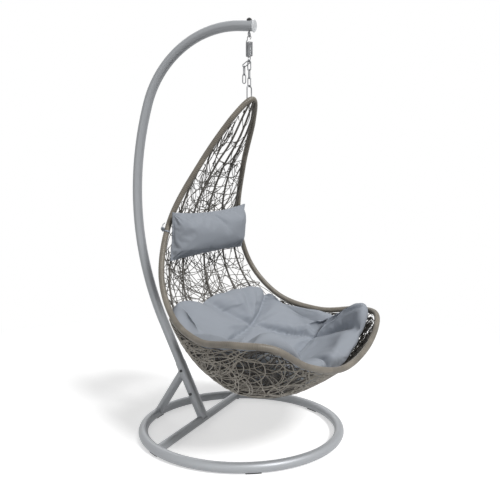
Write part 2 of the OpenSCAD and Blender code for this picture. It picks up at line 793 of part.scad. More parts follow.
// Cushions: stacks of rings from the middle of one side, over the edge, to the middle of the other.
// A profile entry is [share of the way to the edge, share of the thickness].
function stack_faces(rings, sides) =
    let (low = rings * sides, high = low + 1, last = (rings - 1) * sides)
    concat(
        wall_faces(rings, sides, false),
        [for (k = [0 : sides - 1]) [low, k, (k + 1) % sides]],
        [for (k = [0 : sides - 1]) [high, last + (k + 1) % sides, last + k]]);
function dent(d, w) = exp(-d * d / (w * w));

pad_under = rib_in + rib_d / 2 + 2;
pad_mid_s = 0.735;
pad_front = 0.24;
pad_rear = 0.21;
pad_side = 96;
pad_square = 4;
pad_r = 450;
tuft_w = 62;
seam_w = 26;
seam_depth = 20;
pad_sides = 64;
pad_profile = [
    [0.3, 0], [0.6, 0], [0.84, 0], [0.95, 0.1], [1, 0.34],
    [1, 0.66], [0.965, 0.88], [0.9, 0.98], [0.82, 1], [0.73, 1],
    [0.64, 1], [0.56, 1], [0.5, 1], [0.42, 1], [0.3, 1], [0.18, 1], [0.08, 1]
];
function mouth_dir(s) = let (d = rim_at(s) - spine_at(s)) unit([0, d[1], d[2]]);
function shell_at(s, q, in) =
    let (side = q < 0 ? -1 : 1, over = max(0, abs(q) - 84))
    on_bowl(s, side * min(abs(q), 84), in) + over * 6.5 * mouth_dir(s);
// Four tufts on a ring, each with three creases to the edge and one to the next tuft
tuft_turn = 77.5;
tuft_far = 0.5;
function pad_at(far, turn) = far * [cos(turn), sin(turn)];
creases = [for (k = [0 : 3])
    let (turn = tuft_turn + 90 * k, spot = pad_at(tuft_far, turn))
    each [
        [spot, pad_at(1.05, turn - 22.5), 1],
        [spot, pad_at(1.05, turn + 22.5), 1],
        [spot, pad_at(1.05, turn), 0.3],
        [spot, pad_at(tuft_far, turn + 90), 0.8]
    ]];
function off_line(p, a, b) = let (d = b - a, t = min(1, max(0, (p - a) * d / (d * d)))) norm(p - a - t * d);
function pad_full(a, b) =
    let (p = [a, b],
        tufts = max([for (k = [0 : 3]) dent(pad_r * norm(p - pad_at(tuft_far, tuft_turn + 90 * k)), tuft_w)]),
        seam = max([for (c = creases) c[2] * dent(pad_r * off_line(p, c[0], c[1]), seam_w)]))
    cushion_t * (1 - 0.3 * min(1, p * p)) - tuft_depth * tufts - seam_depth * seam * (1 - tufts);
function pad_point(far, turn, h) =
    let (
        out = far / pow(pow(abs(cos(turn)), pad_square) + pow(abs(sin(turn)), pad_square), 1 / pad_square),
        a = out * cos(turn),
        b = out * sin(turn),
        s = pad_mid_s + (a > 0 ? pad_front : pad_rear) * a,
        q = pad_side * b,
        under = pad_under + 12 * ease((abs(q) - 50) / 30))
    shell_at(s, q, under + (h > 0 ? h * pad_full(a, b) : 0));

module seat_cushion() {
    rings = [for (e = pad_profile) for (k = [0 : pad_sides - 1]) pad_point(e[0], 360 * k / pad_sides, e[1])];
    color(cloth)
        in_basket()
            polyhedron(
                concat(rings, [pad_point(0, 0, 0), pad_point(0, 0, 1)]),
                stack_faces(len(pad_profile), pad_sides),
                convexity = 10);
}

pillow_sides = 48;
pillow_profile = [
    [0.35, -1], [0.6, -1], [0.78, -1], [0.9, -1], [0.97, -1], [1, 0],
    [0.97, 1], [0.9, 1], [0.78, 1], [0.65, 1], [0.5, 1], [0.35, 1], [0.18, 1]
];
pillow_seat = 5.7;
pillow_y = 0.965 * basket_back - rib_in - rib_d / 2 + pillow_seat - pillow_t / 2;
pillow_z = rim_top_z - pillow_drop;
function blunt(c) = (c < 0 ? -1 : 1) * pow(abs(c), 0.36);
function pillow_point(far, turn, h) =
    let (a = blunt(cos(turn)), b = blunt(sin(turn)),
        x = far * a * pillow_l / 2 * (1 - 0.05 * (1 - b * b)),
        z = far * b * pillow_h / 2 * (1 - 0.08 * (1 - a * a)),
        puff = pow(max(0, 1 - pow(far, 2.6)), 0.6) * (1 - 0.3 * abs(a * b) * far),
        sweep = pillow_sweep * pow(far, 4),
        crease = 16 * dent(x, 26) * ease(1.6 * (1 - far)) * ease(z / 60 + 0.8))
    [x, sweep - h * (pillow_t / 2 * puff - (h > 0 ? crease : 0)), z];

module head_pillow() {
    rings = [for (e = pillow_profile) for (k = [0 : pillow_sides - 1])
        pillow_point(e[0], 360 * k / pillow_sides, e[1])];
    color(cloth)
        in_basket()
            translate([0, pillow_y, pillow_z])
                rotate([pillow_lean, -pillow_roll, 0])
                    polyhedron(
                        concat(rings, [pillow_point(0, 0, -1), pillow_point(0, 0, 1)]),
                        stack_faces(len(pillow_profile), pillow_sides),
                        convexity = 10);
}

module facing(p, t, inner) {
    f = ring_frame(p, t, inner);
    multmatrix([
        [f[0][0], f[1][0], t[0], p[0]],
        [f[0][1], f[1][1], t[1], p[1]],
        [f[0][2], f[1][2], t[2], p[2]]
    ]) children();
}

// A tape loop round the rim, tied in a bow on the rim's outer side
module tie(u) {
    p = loop_curve(rim_loop, u);
    t = unit(loop_curve(rim_loop, u + 0.05) - loop_curve(rim_loop, u - 0.05));
    r = rim_r + 0.6;
    facing(p, t, [0, pillow_y, p[2]]) {
        difference() {
            cylinder(r = r + tie_t, h = tie_w, center = true);
            cylinder(r = r, h = tie_w + 2, center = true);
        }
        translate([-r - tie_t - 4 + 0.3, 0, 0]) cube([8, 14, 10], center = true);
        for (side = [-1, 1]) {
            translate([-r - tie_t - 5, side * 18, 0])
                difference() {
                    cylinder(r = 12, h = tie_w, center = true);
                    cylinder(r = 12 - tie_t, h = tie_w + 2, center = true);
                }
        }
    }
}

module pillow_ties() {
    color(cloth)
        in_basket()
            for (side = [0, 1])
                mirror([side, 0, 0])
                    tie(3.25);
}

base_ring();
crossbar();
floor_pads();
mast_socket();
brace();
mast();
end_cap();
socket_bolts();
socket_nuts();
eye_bolt();
eye_bolt_nut();
eye_bolt_washer();
dome_cap();
spring_top_hook();
spring();
spring_bottom_hook();
chain_link_1();
chain_link_2();
chain_link_3();
spare_link_1();
spare_link_2();
spare_link_3();
hanging_eye();
rim_tube();
rim_wrap();
rib_centre();
rib_inner_left();
rib_inner_right();
rib_outer_left();
rib_outer_right();
back_weave();
seat_weave();
seat_cushion();
head_pillow();
pillow_ties();
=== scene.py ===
"""Finish for the hanging teardrop chair: tubes, hanger, wrapped rim, woven shell and cushions."""

import json
import logging
import math
from dataclasses import dataclass, field
from enum import Enum
from typing import Callable, Optional, Sequence

import bpy
import numpy as np
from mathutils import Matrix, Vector


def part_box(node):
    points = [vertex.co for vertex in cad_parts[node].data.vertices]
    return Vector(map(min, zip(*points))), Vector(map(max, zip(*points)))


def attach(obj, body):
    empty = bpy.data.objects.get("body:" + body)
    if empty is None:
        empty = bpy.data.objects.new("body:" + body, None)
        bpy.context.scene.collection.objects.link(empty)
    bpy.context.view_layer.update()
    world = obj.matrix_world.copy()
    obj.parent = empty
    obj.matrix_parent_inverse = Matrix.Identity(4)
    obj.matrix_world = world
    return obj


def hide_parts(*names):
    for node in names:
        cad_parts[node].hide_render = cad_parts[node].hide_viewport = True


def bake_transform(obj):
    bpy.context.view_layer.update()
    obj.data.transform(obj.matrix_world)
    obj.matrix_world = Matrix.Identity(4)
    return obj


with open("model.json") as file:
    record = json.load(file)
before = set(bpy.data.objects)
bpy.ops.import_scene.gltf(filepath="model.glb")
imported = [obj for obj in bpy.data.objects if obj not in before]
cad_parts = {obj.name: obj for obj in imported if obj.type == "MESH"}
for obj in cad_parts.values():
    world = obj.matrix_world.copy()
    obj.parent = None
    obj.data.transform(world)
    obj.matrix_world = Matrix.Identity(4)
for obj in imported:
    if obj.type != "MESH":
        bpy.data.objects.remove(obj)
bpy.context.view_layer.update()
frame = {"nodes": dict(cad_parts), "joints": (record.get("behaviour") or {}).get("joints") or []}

LOG = logging.getLogger("hanging_chair")
TAU = 2 * math.pi
Array = np.ndarray
Piece = bpy.types.Object
Socket = bpy.types.NodeSocket
Span = tuple[float, float]
Triple = tuple[float, float, float]


# ---------------------------------------------------------------- meshes

def puffed(off: Array, width: float) -> Array:
    """Loss beside a seam in filled cloth: 1 on the seam, then 1 less a quarter circle, 0 past the width."""
    left = 1 - np.clip(off / width, 0, 1)
    return 1 - np.sqrt(np.maximum(0, 1 - left ** 2))


def eased(t: Array, rise: float) -> Array:
    """A rise as t goes from 0 to 1 that starts and ends level: three squares less two cubes."""
    t = np.clip(t, 0, 1)
    return rise * t * t * (3 - 2 * t)


def turned(u: Array, v: Array, angle: float) -> tuple[Array, Array]:
    """Two coordinates turned by an angle from the first towards the second."""
    c, s = math.cos(angle), math.sin(angle)
    return c * u - s * v, s * u + c * v


def unit(v: Array) -> Array:
    """Vectors divided by their lengths along the last axis."""
    return v / np.maximum(np.linalg.norm(v, axis=-1, keepdims=True), 1e-12)


def run_of(path: Array) -> Array:
    """Length from a path's start to each of its points."""
    return np.concatenate([[0], np.cumsum(np.linalg.norm(np.diff(path, axis=0), axis=1))])


def middle(name: str) -> Array:
    """Middle of a CAD node's box."""
    low, high = (np.array(corner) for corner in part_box(name))
    return (low + high) / 2


def joint_at(name: str) -> Sequence[float]:
    """Place of a joint in the frame."""
    return [joint for joint in frame["joints"] if joint["name"] == name][0]["pos_m"]


def spline(points: Array, u: Array, closed: bool) -> Array:
    """Catmull-Rom curve through the points.

    Between points b and c the curve is a cubic in t whose slope at b is half of (c - a)
    and at c half of (d - b), where a and d are the neighbours.

    Args:
        points: array (n, 3) of the points to pass through.
        u: any array of parameters, whole numbers falling on the points.
        closed: True for a loop; an open curve runs on straight past its ends.

    Returns:
        Array of u's shape with a last axis of 3.
    """
    n = len(points)
    if closed:
        k = np.floor(u).astype(int)
        a, b, c, d = (points[(k + i) % n] for i in (-1, 0, 1, 2))
    else:
        padded = np.vstack([2 * points[0] - points[1], points, 2 * points[-1] - points[-2]])
        k = np.clip(np.floor(u), 0, n - 2).astype(int)
        a, b, c, d = (padded[k + i] for i in (0, 1, 2, 3))
    t = (u - k)[..., None]
    return 0.5 * (2 * b + (c - a) * t + (2 * a - 5 * b + 4 * c - d) * t ** 2
                  + (3 * b - a - 3 * c + d) * t ** 3)


def add_object(name: str, data: bpy.types.ID) -> Piece:
    """Puts a new object in the scene.

    Args:
        name: the object's name.
        data: its mesh, lamp or camera.

    Returns:
        The object.
    """
    obj = bpy.data.objects.new(name, data)
    bpy.context.scene.collection.objects.link(obj)
    return obj


def make_object(name: str, verts: Array, faces: Sequence[Array], uv: Optional[Array] = None,
                tone: Optional[Array] = None) -> Piece:
    """Builds a smooth mesh object at the origin.

    Args:
        name: the object's name.
        verts: array (n, 3) of places in metres.
        faces: index arrays, each (faces, corners), which may differ in corners.
        uv: optional array (n, 2) given to every corner of a vertex.
        tone: optional array (n,) kept as the point attribute "tone".

    Returns:
        The new object.
    """
    mesh = bpy.data.meshes.new(name)
    loops = np.concatenate([np.asarray(f, dtype=np.int32).ravel() for f in faces])
    totals = np.concatenate([np.full(len(f), f.shape[1], dtype=np.int32) for f in faces])
    mesh.vertices.add(len(verts))
    mesh.vertices.foreach_set("co", np.asarray(verts, dtype=np.float32).ravel())
    mesh.loops.add(len(loops))
    mesh.loops.foreach_set("vertex_index", loops)
    mesh.polygons.add(len(totals))
    mesh.polygons.foreach_set("loop_start", np.concatenate([[0], np.cumsum(totals)[:-1]]).astype(np.int32))
    mesh.polygons.foreach_set("loop_total", totals)
    mesh.polygons.foreach_set("use_smooth", np.ones(len(totals), dtype=bool))
    mesh.update(calc_edges=True)
    if uv is not None:
        layer = mesh.uv_layers.new(name="UVMap")
        layer.data.foreach_set("uv", np.asarray(uv, dtype=np.float32)[loops].ravel())
    if tone is not None:
        mesh.attributes.new("tone", "FLOAT", "POINT").data.foreach_set("value", np.asarray(tone, dtype=np.float32))
    mesh.validate()
    return add_object(name, mesh)


def vertex_array(mesh: bpy.types.Mesh, key: str) -> Array:
    """Reads the points of a mesh.

    Args:
        mesh: the mesh.
        key: "co" for places, "normal" for normals.

    Returns:
        Array (n, 3).
    """
    flat = np.empty(len(mesh.vertices) * 3, dtype=np.float32)
    mesh.vertices.foreach_get(key, flat)
    return flat.reshape(-1, 3)


def grid_faces(rows: int, cols: int, wrap_rows: bool, wrap_cols: bool) -> Array:
    """Quads of a grid of rows by cols points, row after row.

    Args:
        rows: number of rows of points.
        cols: number of points in a row.
        wrap_rows: True to join the last row to the first.
        wrap_cols: True to join the last column to the first.

    Returns:
        Array (quads, 4) of indices.
    """
    r = np.arange(rows if wrap_rows else rows - 1)[:, None]
    c = np.arange(cols if wrap_cols else cols - 1)[None, :]
    r2, c2 = (r + 1) % rows, (c + 1) % cols
    return np.stack([r * cols + c, r * cols + c2, r2 * cols + c2, r2 * cols + c], axis=-1).reshape(-1, 4)


def sweep(path: Array, inner: Array, radius: Array, sides: int, closed: bool) -> tuple[Array, list[Array], Array]:
    """Round tubes along paths: ring point k lies at radius times cos and sin of k turns over sides.

    Args:
        path: array (n, m, 3), n paths of m points.
        inner: inward direction, broadcast to path.
        radius: array that broadcasts to (n, m, sides).
        sides: points round a ring.
        closed: True if each path is a loop.

    Returns:
        Points, face arrays (with end caps on open paths) and a uv of length along and share around.
    """
    n, m = path.shape[:2]
    if closed:
        tangent = unit(np.roll(path, -1, axis=-2) - np.roll(path, 1, axis=-2))
    else:
        tangent = unit(np.gradient(path, axis=-2))
    inward = unit(inner - tangent * np.sum(inner * tangent, axis=-1, keepdims=True))
    side = np.cross(tangent, inward)
    turn = TAU * np.arange(sides) / sides
    r = np.broadcast_to(radius, (n, m, sides))[..., None]
    ring = (path[:, :, None] + r * (np.cos(turn)[:, None] * inward[:, :, None]
                                    + np.sin(turn)[:, None] * side[:, :, None]))
    base = (np.arange(n) * m * sides)[:, None]
    faces = [(grid_faces(m, sides, closed, True)[None] + base[..., None]).reshape(-1, 4)]
    if not closed:
        corner = np.arange(sides)[None]
        faces.append(np.vstack([base + corner[:, ::-1], base + (m - 1) * sides + corner]))
    step = np.linalg.norm(np.diff(path, axis=1), axis=-1)
    along = np.concatenate([np.zeros((n, 1)), np.cumsum(step, axis=1)], axis=1)
    uv = np.stack(np.broadcast_arrays(along[:, :, None], (np.arange(sides) / sides)[None, None]), axis=-1)
    return ring.reshape(-1, 3), faces, uv.reshape(-1, 2)


# ---------------------------------------------------------------- finishes

def maths(tree: bpy.types.NodeTree, operation: str, *values: Socket | float) -> Socket:
    """Adds a Math node.

    Args:
        tree: the tree to add it to.
        operation: what it works out.
        values: sockets or numbers that go in.

    Returns:
        Its output.
    """
    node = tree.nodes.new("ShaderNodeMath")
    node.operation = operation
    for value, socket in zip(values, node.inputs):
        if isinstance(value, float):
            socket.default_value = value
        else:
            tree.links.new(value, socket)
    return node.outputs[0]


class Pattern(Enum):
    """A pattern that finishes share, on Object coordinates for grain and on the uv for threads."""

    GRAIN = "grain"
    THREADS = "threads"

    def group(self) -> bpy.types.NodeTree:
        """The pattern's node group, built once: Tone is near 0.5 all over, Height is a fine relief.

        Grain has fine noise for its height. Threads are a plain weave: a sine ridge along u
        times one along v.

        Returns:
            The node group.
        """
        known = bpy.data.node_groups.get(self.value)
        if known:
            return known
        tree = bpy.data.node_groups.new(self.value, "ShaderNodeTree")
        tree.interface.new_socket("Vector", in_out="INPUT", socket_type="NodeSocketVector")
        for label, way in (("Fine", "INPUT"), ("Broad", "INPUT"), ("Tone", "OUTPUT"), ("Height", "OUTPUT")):
            tree.interface.new_socket(label, in_out=way, socket_type="NodeSocketFloat")
        add, link = tree.nodes.new, tree.links.new
        source, sink = add("NodeGroupInput"), add("NodeGroupOutput")
        woven = self is Pattern.THREADS
        for scale, out in (("Broad", "Tone"),) if woven else (("Fine", "Height"), ("Broad", "Tone")):
            noise = add("ShaderNodeTexNoise")
            noise.inputs["Detail"].default_value = 2.0 if woven else 3.0
            link(source.outputs["Vector"], noise.inputs["Vector"])
            link(source.outputs[scale], noise.inputs["Scale"])
            link(noise.outputs["Fac"], sink.inputs[out])
        if woven:
            split = add("ShaderNodeSeparateXYZ")
            link(source.outputs["Vector"], split.inputs[0])
            ridges = [maths(tree, "SINE", maths(tree, "MULTIPLY", split.outputs[axis], source.outputs["Fine"]))
                      for axis in ("X", "Y")]
            link(maths(tree, "MULTIPLY", *ridges), sink.inputs["Height"])
        return tree


@dataclass(frozen=True)
class Finish:
    """A surface finish: one Principled shader with a tone pattern and a fine bump."""

    name: str
    dark: Triple
    light: Triple
    metallic: float = 0.0
    roughness: float = 0.5
    coat: float = 0.0
    gloss: float = 0.5
    bump: float = 0.0
    fine: float = 900.0
    broad: float = 6.0
    pattern: Pattern = Pattern.GRAIN
    by_tone_and_painted_shade: bool = False

    def build(self) -> bpy.types.Material:
        """Makes the material, or returns it if it is there already.

        Returns:
            The material.
        """
        known = bpy.data.materials.get(self.name)
        if known:
            return known
        mat = bpy.data.materials.new(self.name)
        mat.use_nodes = True
        nodes, link = mat.node_tree.nodes, mat.node_tree.links.new
        shader = nodes["Principled BSDF"]
        for label, value in (("Metallic", self.metallic), ("Roughness", self.roughness), ("Coat Weight", self.coat),
                             ("Coat Roughness", 0.25), ("Specular IOR Level", self.gloss)):
            shader.inputs[label].default_value = value
        place, pattern = nodes.new("ShaderNodeTexCoord"), nodes.new("ShaderNodeGroup")
        pattern.node_tree = self.pattern.group()
        pattern.inputs["Fine"].default_value = self.fine
        pattern.inputs["Broad"].default_value = self.broad
        link(place.outputs["UV" if self.pattern is Pattern.THREADS else "Object"], pattern.inputs["Vector"])
        ramp = nodes.new("ShaderNodeValToRGB")
        low, high = ramp.color_ramp.elements
        low.position, high.position = (0.0, 1.0) if self.by_tone_and_painted_shade else (0.35, 0.65)
        low.color, high.color = (*self.dark, 1.0), (*self.light, 1.0)
        # With the attribute, the colour runs from the dark end, which is painted shade, to the light end, which is
        # painted light, by each strand's attribute value.
        if self.by_tone_and_painted_shade:
            own = nodes.new("ShaderNodeAttribute")
            own.attribute_name = "tone"
            link(own.outputs["Fac"], ramp.inputs["Fac"])
        else:
            link(pattern.outputs["Tone"], ramp.inputs["Fac"])
        link(ramp.outputs["Color"], shader.inputs["Base Color"])
        if self.bump:
            bump = nodes.new("ShaderNodeBump")
            bump.inputs["Strength"].default_value = 0.5
            bump.inputs["Distance"].default_value = self.bump
            link(pattern.outputs["Height"], bump.inputs["Height"])
            link(bump.outputs["Normal"], shader.inputs["Normal"])
        return mat


STAND_COAT = Finish("stand_coat", (0.090, 0.103, 0.120), (0.107, 0.122, 0.142), metallic=0.55, roughness=0.22)
ZINC = Finish("zinc_plate", (0.20, 0.205, 0.215), (0.32, 0.325, 0.335), metallic=0.85, roughness=0.3, bump=0.00005,
              broad=40.0)
DARK_BOLT = Finish("dark_bolt", (0.03, 0.03, 0.032), (0.06, 0.06, 0.064), metallic=0.6, roughness=0.4)
BLACK_PLASTIC = Finish("black_plastic", (0.02, 0.02, 0.022), (0.035, 0.035, 0.037), roughness=0.5, bump=0.00006)
CAP_PLASTIC = Finish("cap_plastic", (0.60, 0.62, 0.64), (0.72, 0.74, 0.76), metallic=0.35, roughness=0.16, coat=0.6)
RIM_STEEL = Finish("rim_steel", (0.25, 0.25, 0.25), (0.32, 0.32, 0.32), metallic=0.4, roughness=0.5)
RIM_WRAP = Finish("rim_wrap_strand", (0.175, 0.156, 0.128), (0.245, 0.218, 0.178), roughness=0.42, bump=0.0001,
                  broad=14.0, fine=500.0)
RIB_WRAP = Finish("rib_wrap_strand", (0.085, 0.078, 0.068), (0.125, 0.115, 0.10), roughness=0.5, bump=0.0001,
                  broad=14.0, fine=500.0)
# Wicker strands: the dark end is painted shade for strands deep in the weave and the light end is painted light for lit
# outer strands, chosen for each strand by its point attribute.
STRAND_WITH_PAINTED_SHADE = Finish("wicker_strand_painted_shade", (0.030, 0.027, 0.023), (0.50, 0.463, 0.405), roughness=0.42, gloss=0.35,
                by_tone_and_painted_shade=True, bump=0.00008, fine=700.0)
CLOTH = Finish("cushion_cloth", (0.205, 0.227, 0.256), (0.240, 0.265, 0.297), roughness=0.85, gloss=0.08,
               bump=0.00012, pattern=Pattern.THREADS, fine=4200.0, broad=5.0)


def dress(obj: Piece, finish: Finish, body: Optional[str] = None) -> Piece:
    """Gives a piece its finish and, for a new piece, its body.

    Args:
        obj: the piece.
        finish: the finish to give it.
        body: the CAD body it rides on, or None for a CAD node or for a piece not attached here.

    Returns:
        The same piece.
    """
    obj.data.materials.clear()
    obj.data.materials.append(finish.build())
    if body:
        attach(obj, body)
    LOG.info("piece %s: %d faces, %s", obj.name, len(obj.data.polygons), finish.name)
    return obj


def dress_nodes(names: Sequence[str], finish: Finish) -> None:
    """Dresses CAD nodes that stay in view."""
    for name in names:
        dress(frame["nodes"][name], finish)


# ---------------------------------------------------------------- stand

@dataclass
class Stand:
    """Floor ring, crossbar, socket, brace and mast, with weld beads where tubes meet."""

    bead: float = 0.0028
    ripple: float = 0.12
    ripples: int = 24
    ring_r: float = 0.4775
    ring_tube: float = 0.0225
    crossbar_r: float = 0.020
    socket_r: float = 0.0261
    brace_r: float = 0.0215
    brace_up: float = 0.243
    mast_r: float = 0.024
    mast_up: float = 0.060
    mast_runs: tuple[float, ...] = (0.0, 0.465, 1.602, 2.269, 2.337)
    mast_leans: tuple[float, ...] = (25.5, 25.5, -17.5, -98.0, -98.0)
    points: int = 96
    centre: Array = field(init=False)
    bar: Array = field(init=False)
    foot: Array = field(init=False)
    axis: Array = field(init=False)

    def __post_init__(self) -> None:
        """Reads the ring's centre, the crossbar's middle and the socket's foot from the frame, and sets the socket's
        axis by the mast's first lean.
        """
        self.centre, self.bar = middle("base_ring"), middle("crossbar")
        self.foot = np.array([self.centre[0], self.bar[1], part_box("crossbar")[1][2]])
        lean = math.radians(self.mast_leans[0])
        self.axis = np.array([0.0, math.sin(lean), math.cos(lean)])

    def off_ring(self, p: Array) -> Array:
        """Distance from the ring tube's surface: from the centre circle, less the tube's radius."""
        d = p - self.centre
        return np.hypot(np.hypot(d[..., 0], d[..., 1]) - self.ring_r, d[..., 2]) - self.ring_tube

    def off_crossbar(self, p: Array) -> Array:
        """Distance from the crossbar's surface: from its axis along X, less its radius."""
        return np.hypot(p[..., 1] - self.bar[1], p[..., 2] - self.bar[2]) - self.crossbar_r

    def off_socket(self, p: Array) -> Array:
        """Distance from the socket's surface: from its leaning axis, less its radius."""
        d = p - self.foot
        return np.linalg.norm(d - np.sum(d * self.axis, axis=-1, keepdims=True) * self.axis, axis=-1) - self.socket_r

    def bead_round(self, name: str, start: Array, axis: Array, radius: float, off: Callable[[Array], Array],
                   reach: float) -> None:
        """A weld bead where a tube meets another surface.

        Each line along the tube's wall is halved until it meets the surface, and a thin
        rippled tube follows the loop of meeting points.

        Args:
            name: the bead's name.
            start: a point on the tube's axis inside the other piece.
            axis: the tube's direction, away from the other piece.
            radius: the tube's radius.
            off: distance from the other piece's surface.
            reach: how far along the tube to look.
        """
        axis = unit(axis)
        side = unit(np.cross(axis, [1.0, 0.0, 0.0] if abs(axis[0]) < 0.9 else [0.0, 1.0, 0.0]))
        turn = TAU * np.arange(self.points) / self.points
        wall = start + radius * (np.cos(turn)[:, None] * side + np.sin(turn)[:, None] * np.cross(axis, side))
        low, high = np.zeros(self.points), np.full(self.points, reach)
        for _ in range(24):
            mid = (low + high) / 2
            outside = off(wall + mid[:, None] * axis) > 0
            low, high = np.where(outside, low, mid), np.where(outside, mid, high)
        loop = wall + ((low + high) / 2)[:, None] * axis
        thick = self.bead * (1 + self.ripple * np.cos(turn * self.ripples))
        verts, faces, uv = sweep(loop[None], (start - wall)[None], thick[None, :, None], 8, True)
        dress(make_object(name, verts, faces, uv), STAND_COAT, "stand")

    def mast_tube(self) -> None:
        """The mast's tube: a straight foot, a long bend backwards over and a short bend over the seat.

        The heading from upright is laid out along the tube's length and summed in equal steps.
        """
        length = np.linspace(0.0, self.mast_runs[-1], 300)
        heading = np.radians(np.interp(length, self.mast_runs, self.mast_leans))
        between = 0.5 * (heading[1:] + heading[:-1])
        path = np.tile(self.foot + self.mast_up * self.axis, (len(length), 1))
        path[1:, 1] += np.cumsum(length[1] * np.sin(between))
        path[1:, 2] += np.cumsum(length[1] * np.cos(between))
        verts, faces, uv = sweep(path[None], np.array([1.0, 0.0, 0.0]), np.array(self.mast_r), 48, False)
        obj = make_object("mast_tube", verts, faces, uv)
        obj.data.set_sharp_from_angle(angle=math.radians(40))
        dress(obj, STAND_COAT, "stand")
        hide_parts("mast")

    def build(self) -> None:
        """Dresses the stand's nodes and lays the beads."""
        dress_nodes(("base_ring", "crossbar", "mast_socket", "brace"), STAND_COAT)
        self.mast_tube()
        dress_nodes(("floor_pads", "dome_cap"), BLACK_PLASTIC)
        dress_nodes(("socket_bolts", "socket_nuts"), DARK_BOLT)
        dress_nodes(("end_cap",), CAP_PLASTIC)
        rear = self.centre + [0.0, self.ring_r, 0.0]
        head = self.foot + self.brace_up * self.axis
        self.bead_round("weld_socket_foot", self.foot - 0.02 * self.axis, self.axis, self.socket_r,
                        self.off_crossbar, 0.06)
        self.bead_round("weld_brace_foot", rear, head - rear, self.brace_r, self.off_ring, 0.06)
        self.bead_round("weld_brace_head", head, rear - head, self.brace_r, self.off_socket, 0.08)
        half = math.sqrt(self.ring_r ** 2 - (self.bar[1] - self.centre[1]) ** 2)
        for side, label in ((-1, "right"), (1, "left")):
            end = np.array([self.centre[0] + side * half, self.bar[1], self.bar[2]])
            self.bead_round(f"weld_crossbar_{label}", end, np.array([-side, 0.0, 0.0]), self.crossbar_r,
                            self.off_ring, 0.09)


# ---------------------------------------------------------------- hanger

@dataclass
class Hanger:
    """Eye bolt, spring with its hooks, chain and spare chain."""

    wire: float = 0.002
    coil_r: float = 0.0145
    curls: float = 14.25
    pitch: float = 0.0046
    start: float = 0.004
    end: float = 0.0045
    steps: int = 28

    def spring(self) -> None:
        """The round-wire coil: a helix with short straight ends, set at the spring joint's place."""
        low, high = (np.array(v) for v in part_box("spring"))
        x, y = joint_at("spring_stretch")[:2]
        t = np.arange(int(self.curls * self.steps) + 1) / self.steps
        coil = np.stack([self.coil_r * np.cos(TAU * t), self.coil_r * np.sin(TAU * t),
                         low[2] + self.start + self.pitch * t], axis=-1)
        path = np.vstack([coil[:1] - [0, 0, self.end], coil, coil[-1:] + [0, 0, self.end]])
        path[:, :2] += [x, y]
        inward = np.stack([x - path[:, 0], y - path[:, 1], np.zeros(len(path))], axis=-1)
        verts, faces, uv = sweep(path[None], inward[None], np.array(self.wire), 10, False)
        obj = make_object("spring_coil", verts, faces, uv)
        dress(obj, ZINC)
        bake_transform(obj)
        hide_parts("spring")

    def build(self) -> None:
        """Dresses the hanger's nodes and adds the coil."""
        dress_nodes(("eye_bolt", "eye_bolt_nut", "eye_bolt_washer", "spring_top_hook", "spring_bottom_hook",
                     "chain_link_1", "chain_link_2", "chain_link_3", "spare_link_1", "spare_link_2",
                     "spare_link_3", "hanging_eye"), ZINC)
        self.spring()


# ---------------------------------------------------------------- basket

RIM_SHAPE = [(0, 0.04, 1), (0.15, -0.07, 0.928), (0.31, -0.313, 0.754), (0.492, -0.52, 0.538),
             (0.654, -0.487, 0.328), (0.8, -0.208, 0.178), (0.934, 0.21, 0.123), (1, 0.613, 0.139),
             (0.867, 0.879, 0.131), (0.514, 0.975, 0.047), (0, 1, 0)]
BACK_SHAPE = [(0.22, 0.864), (0.588, 0.743), (0.857, 0.61), (0.997, 0.463), (1, 0.313), (0.786, 0.169), (0.432, 0.035)]
SEAT_SHAPE = [(-0.006, 0.546), (-0.287, 1.0), (-0.617, 0.816)]


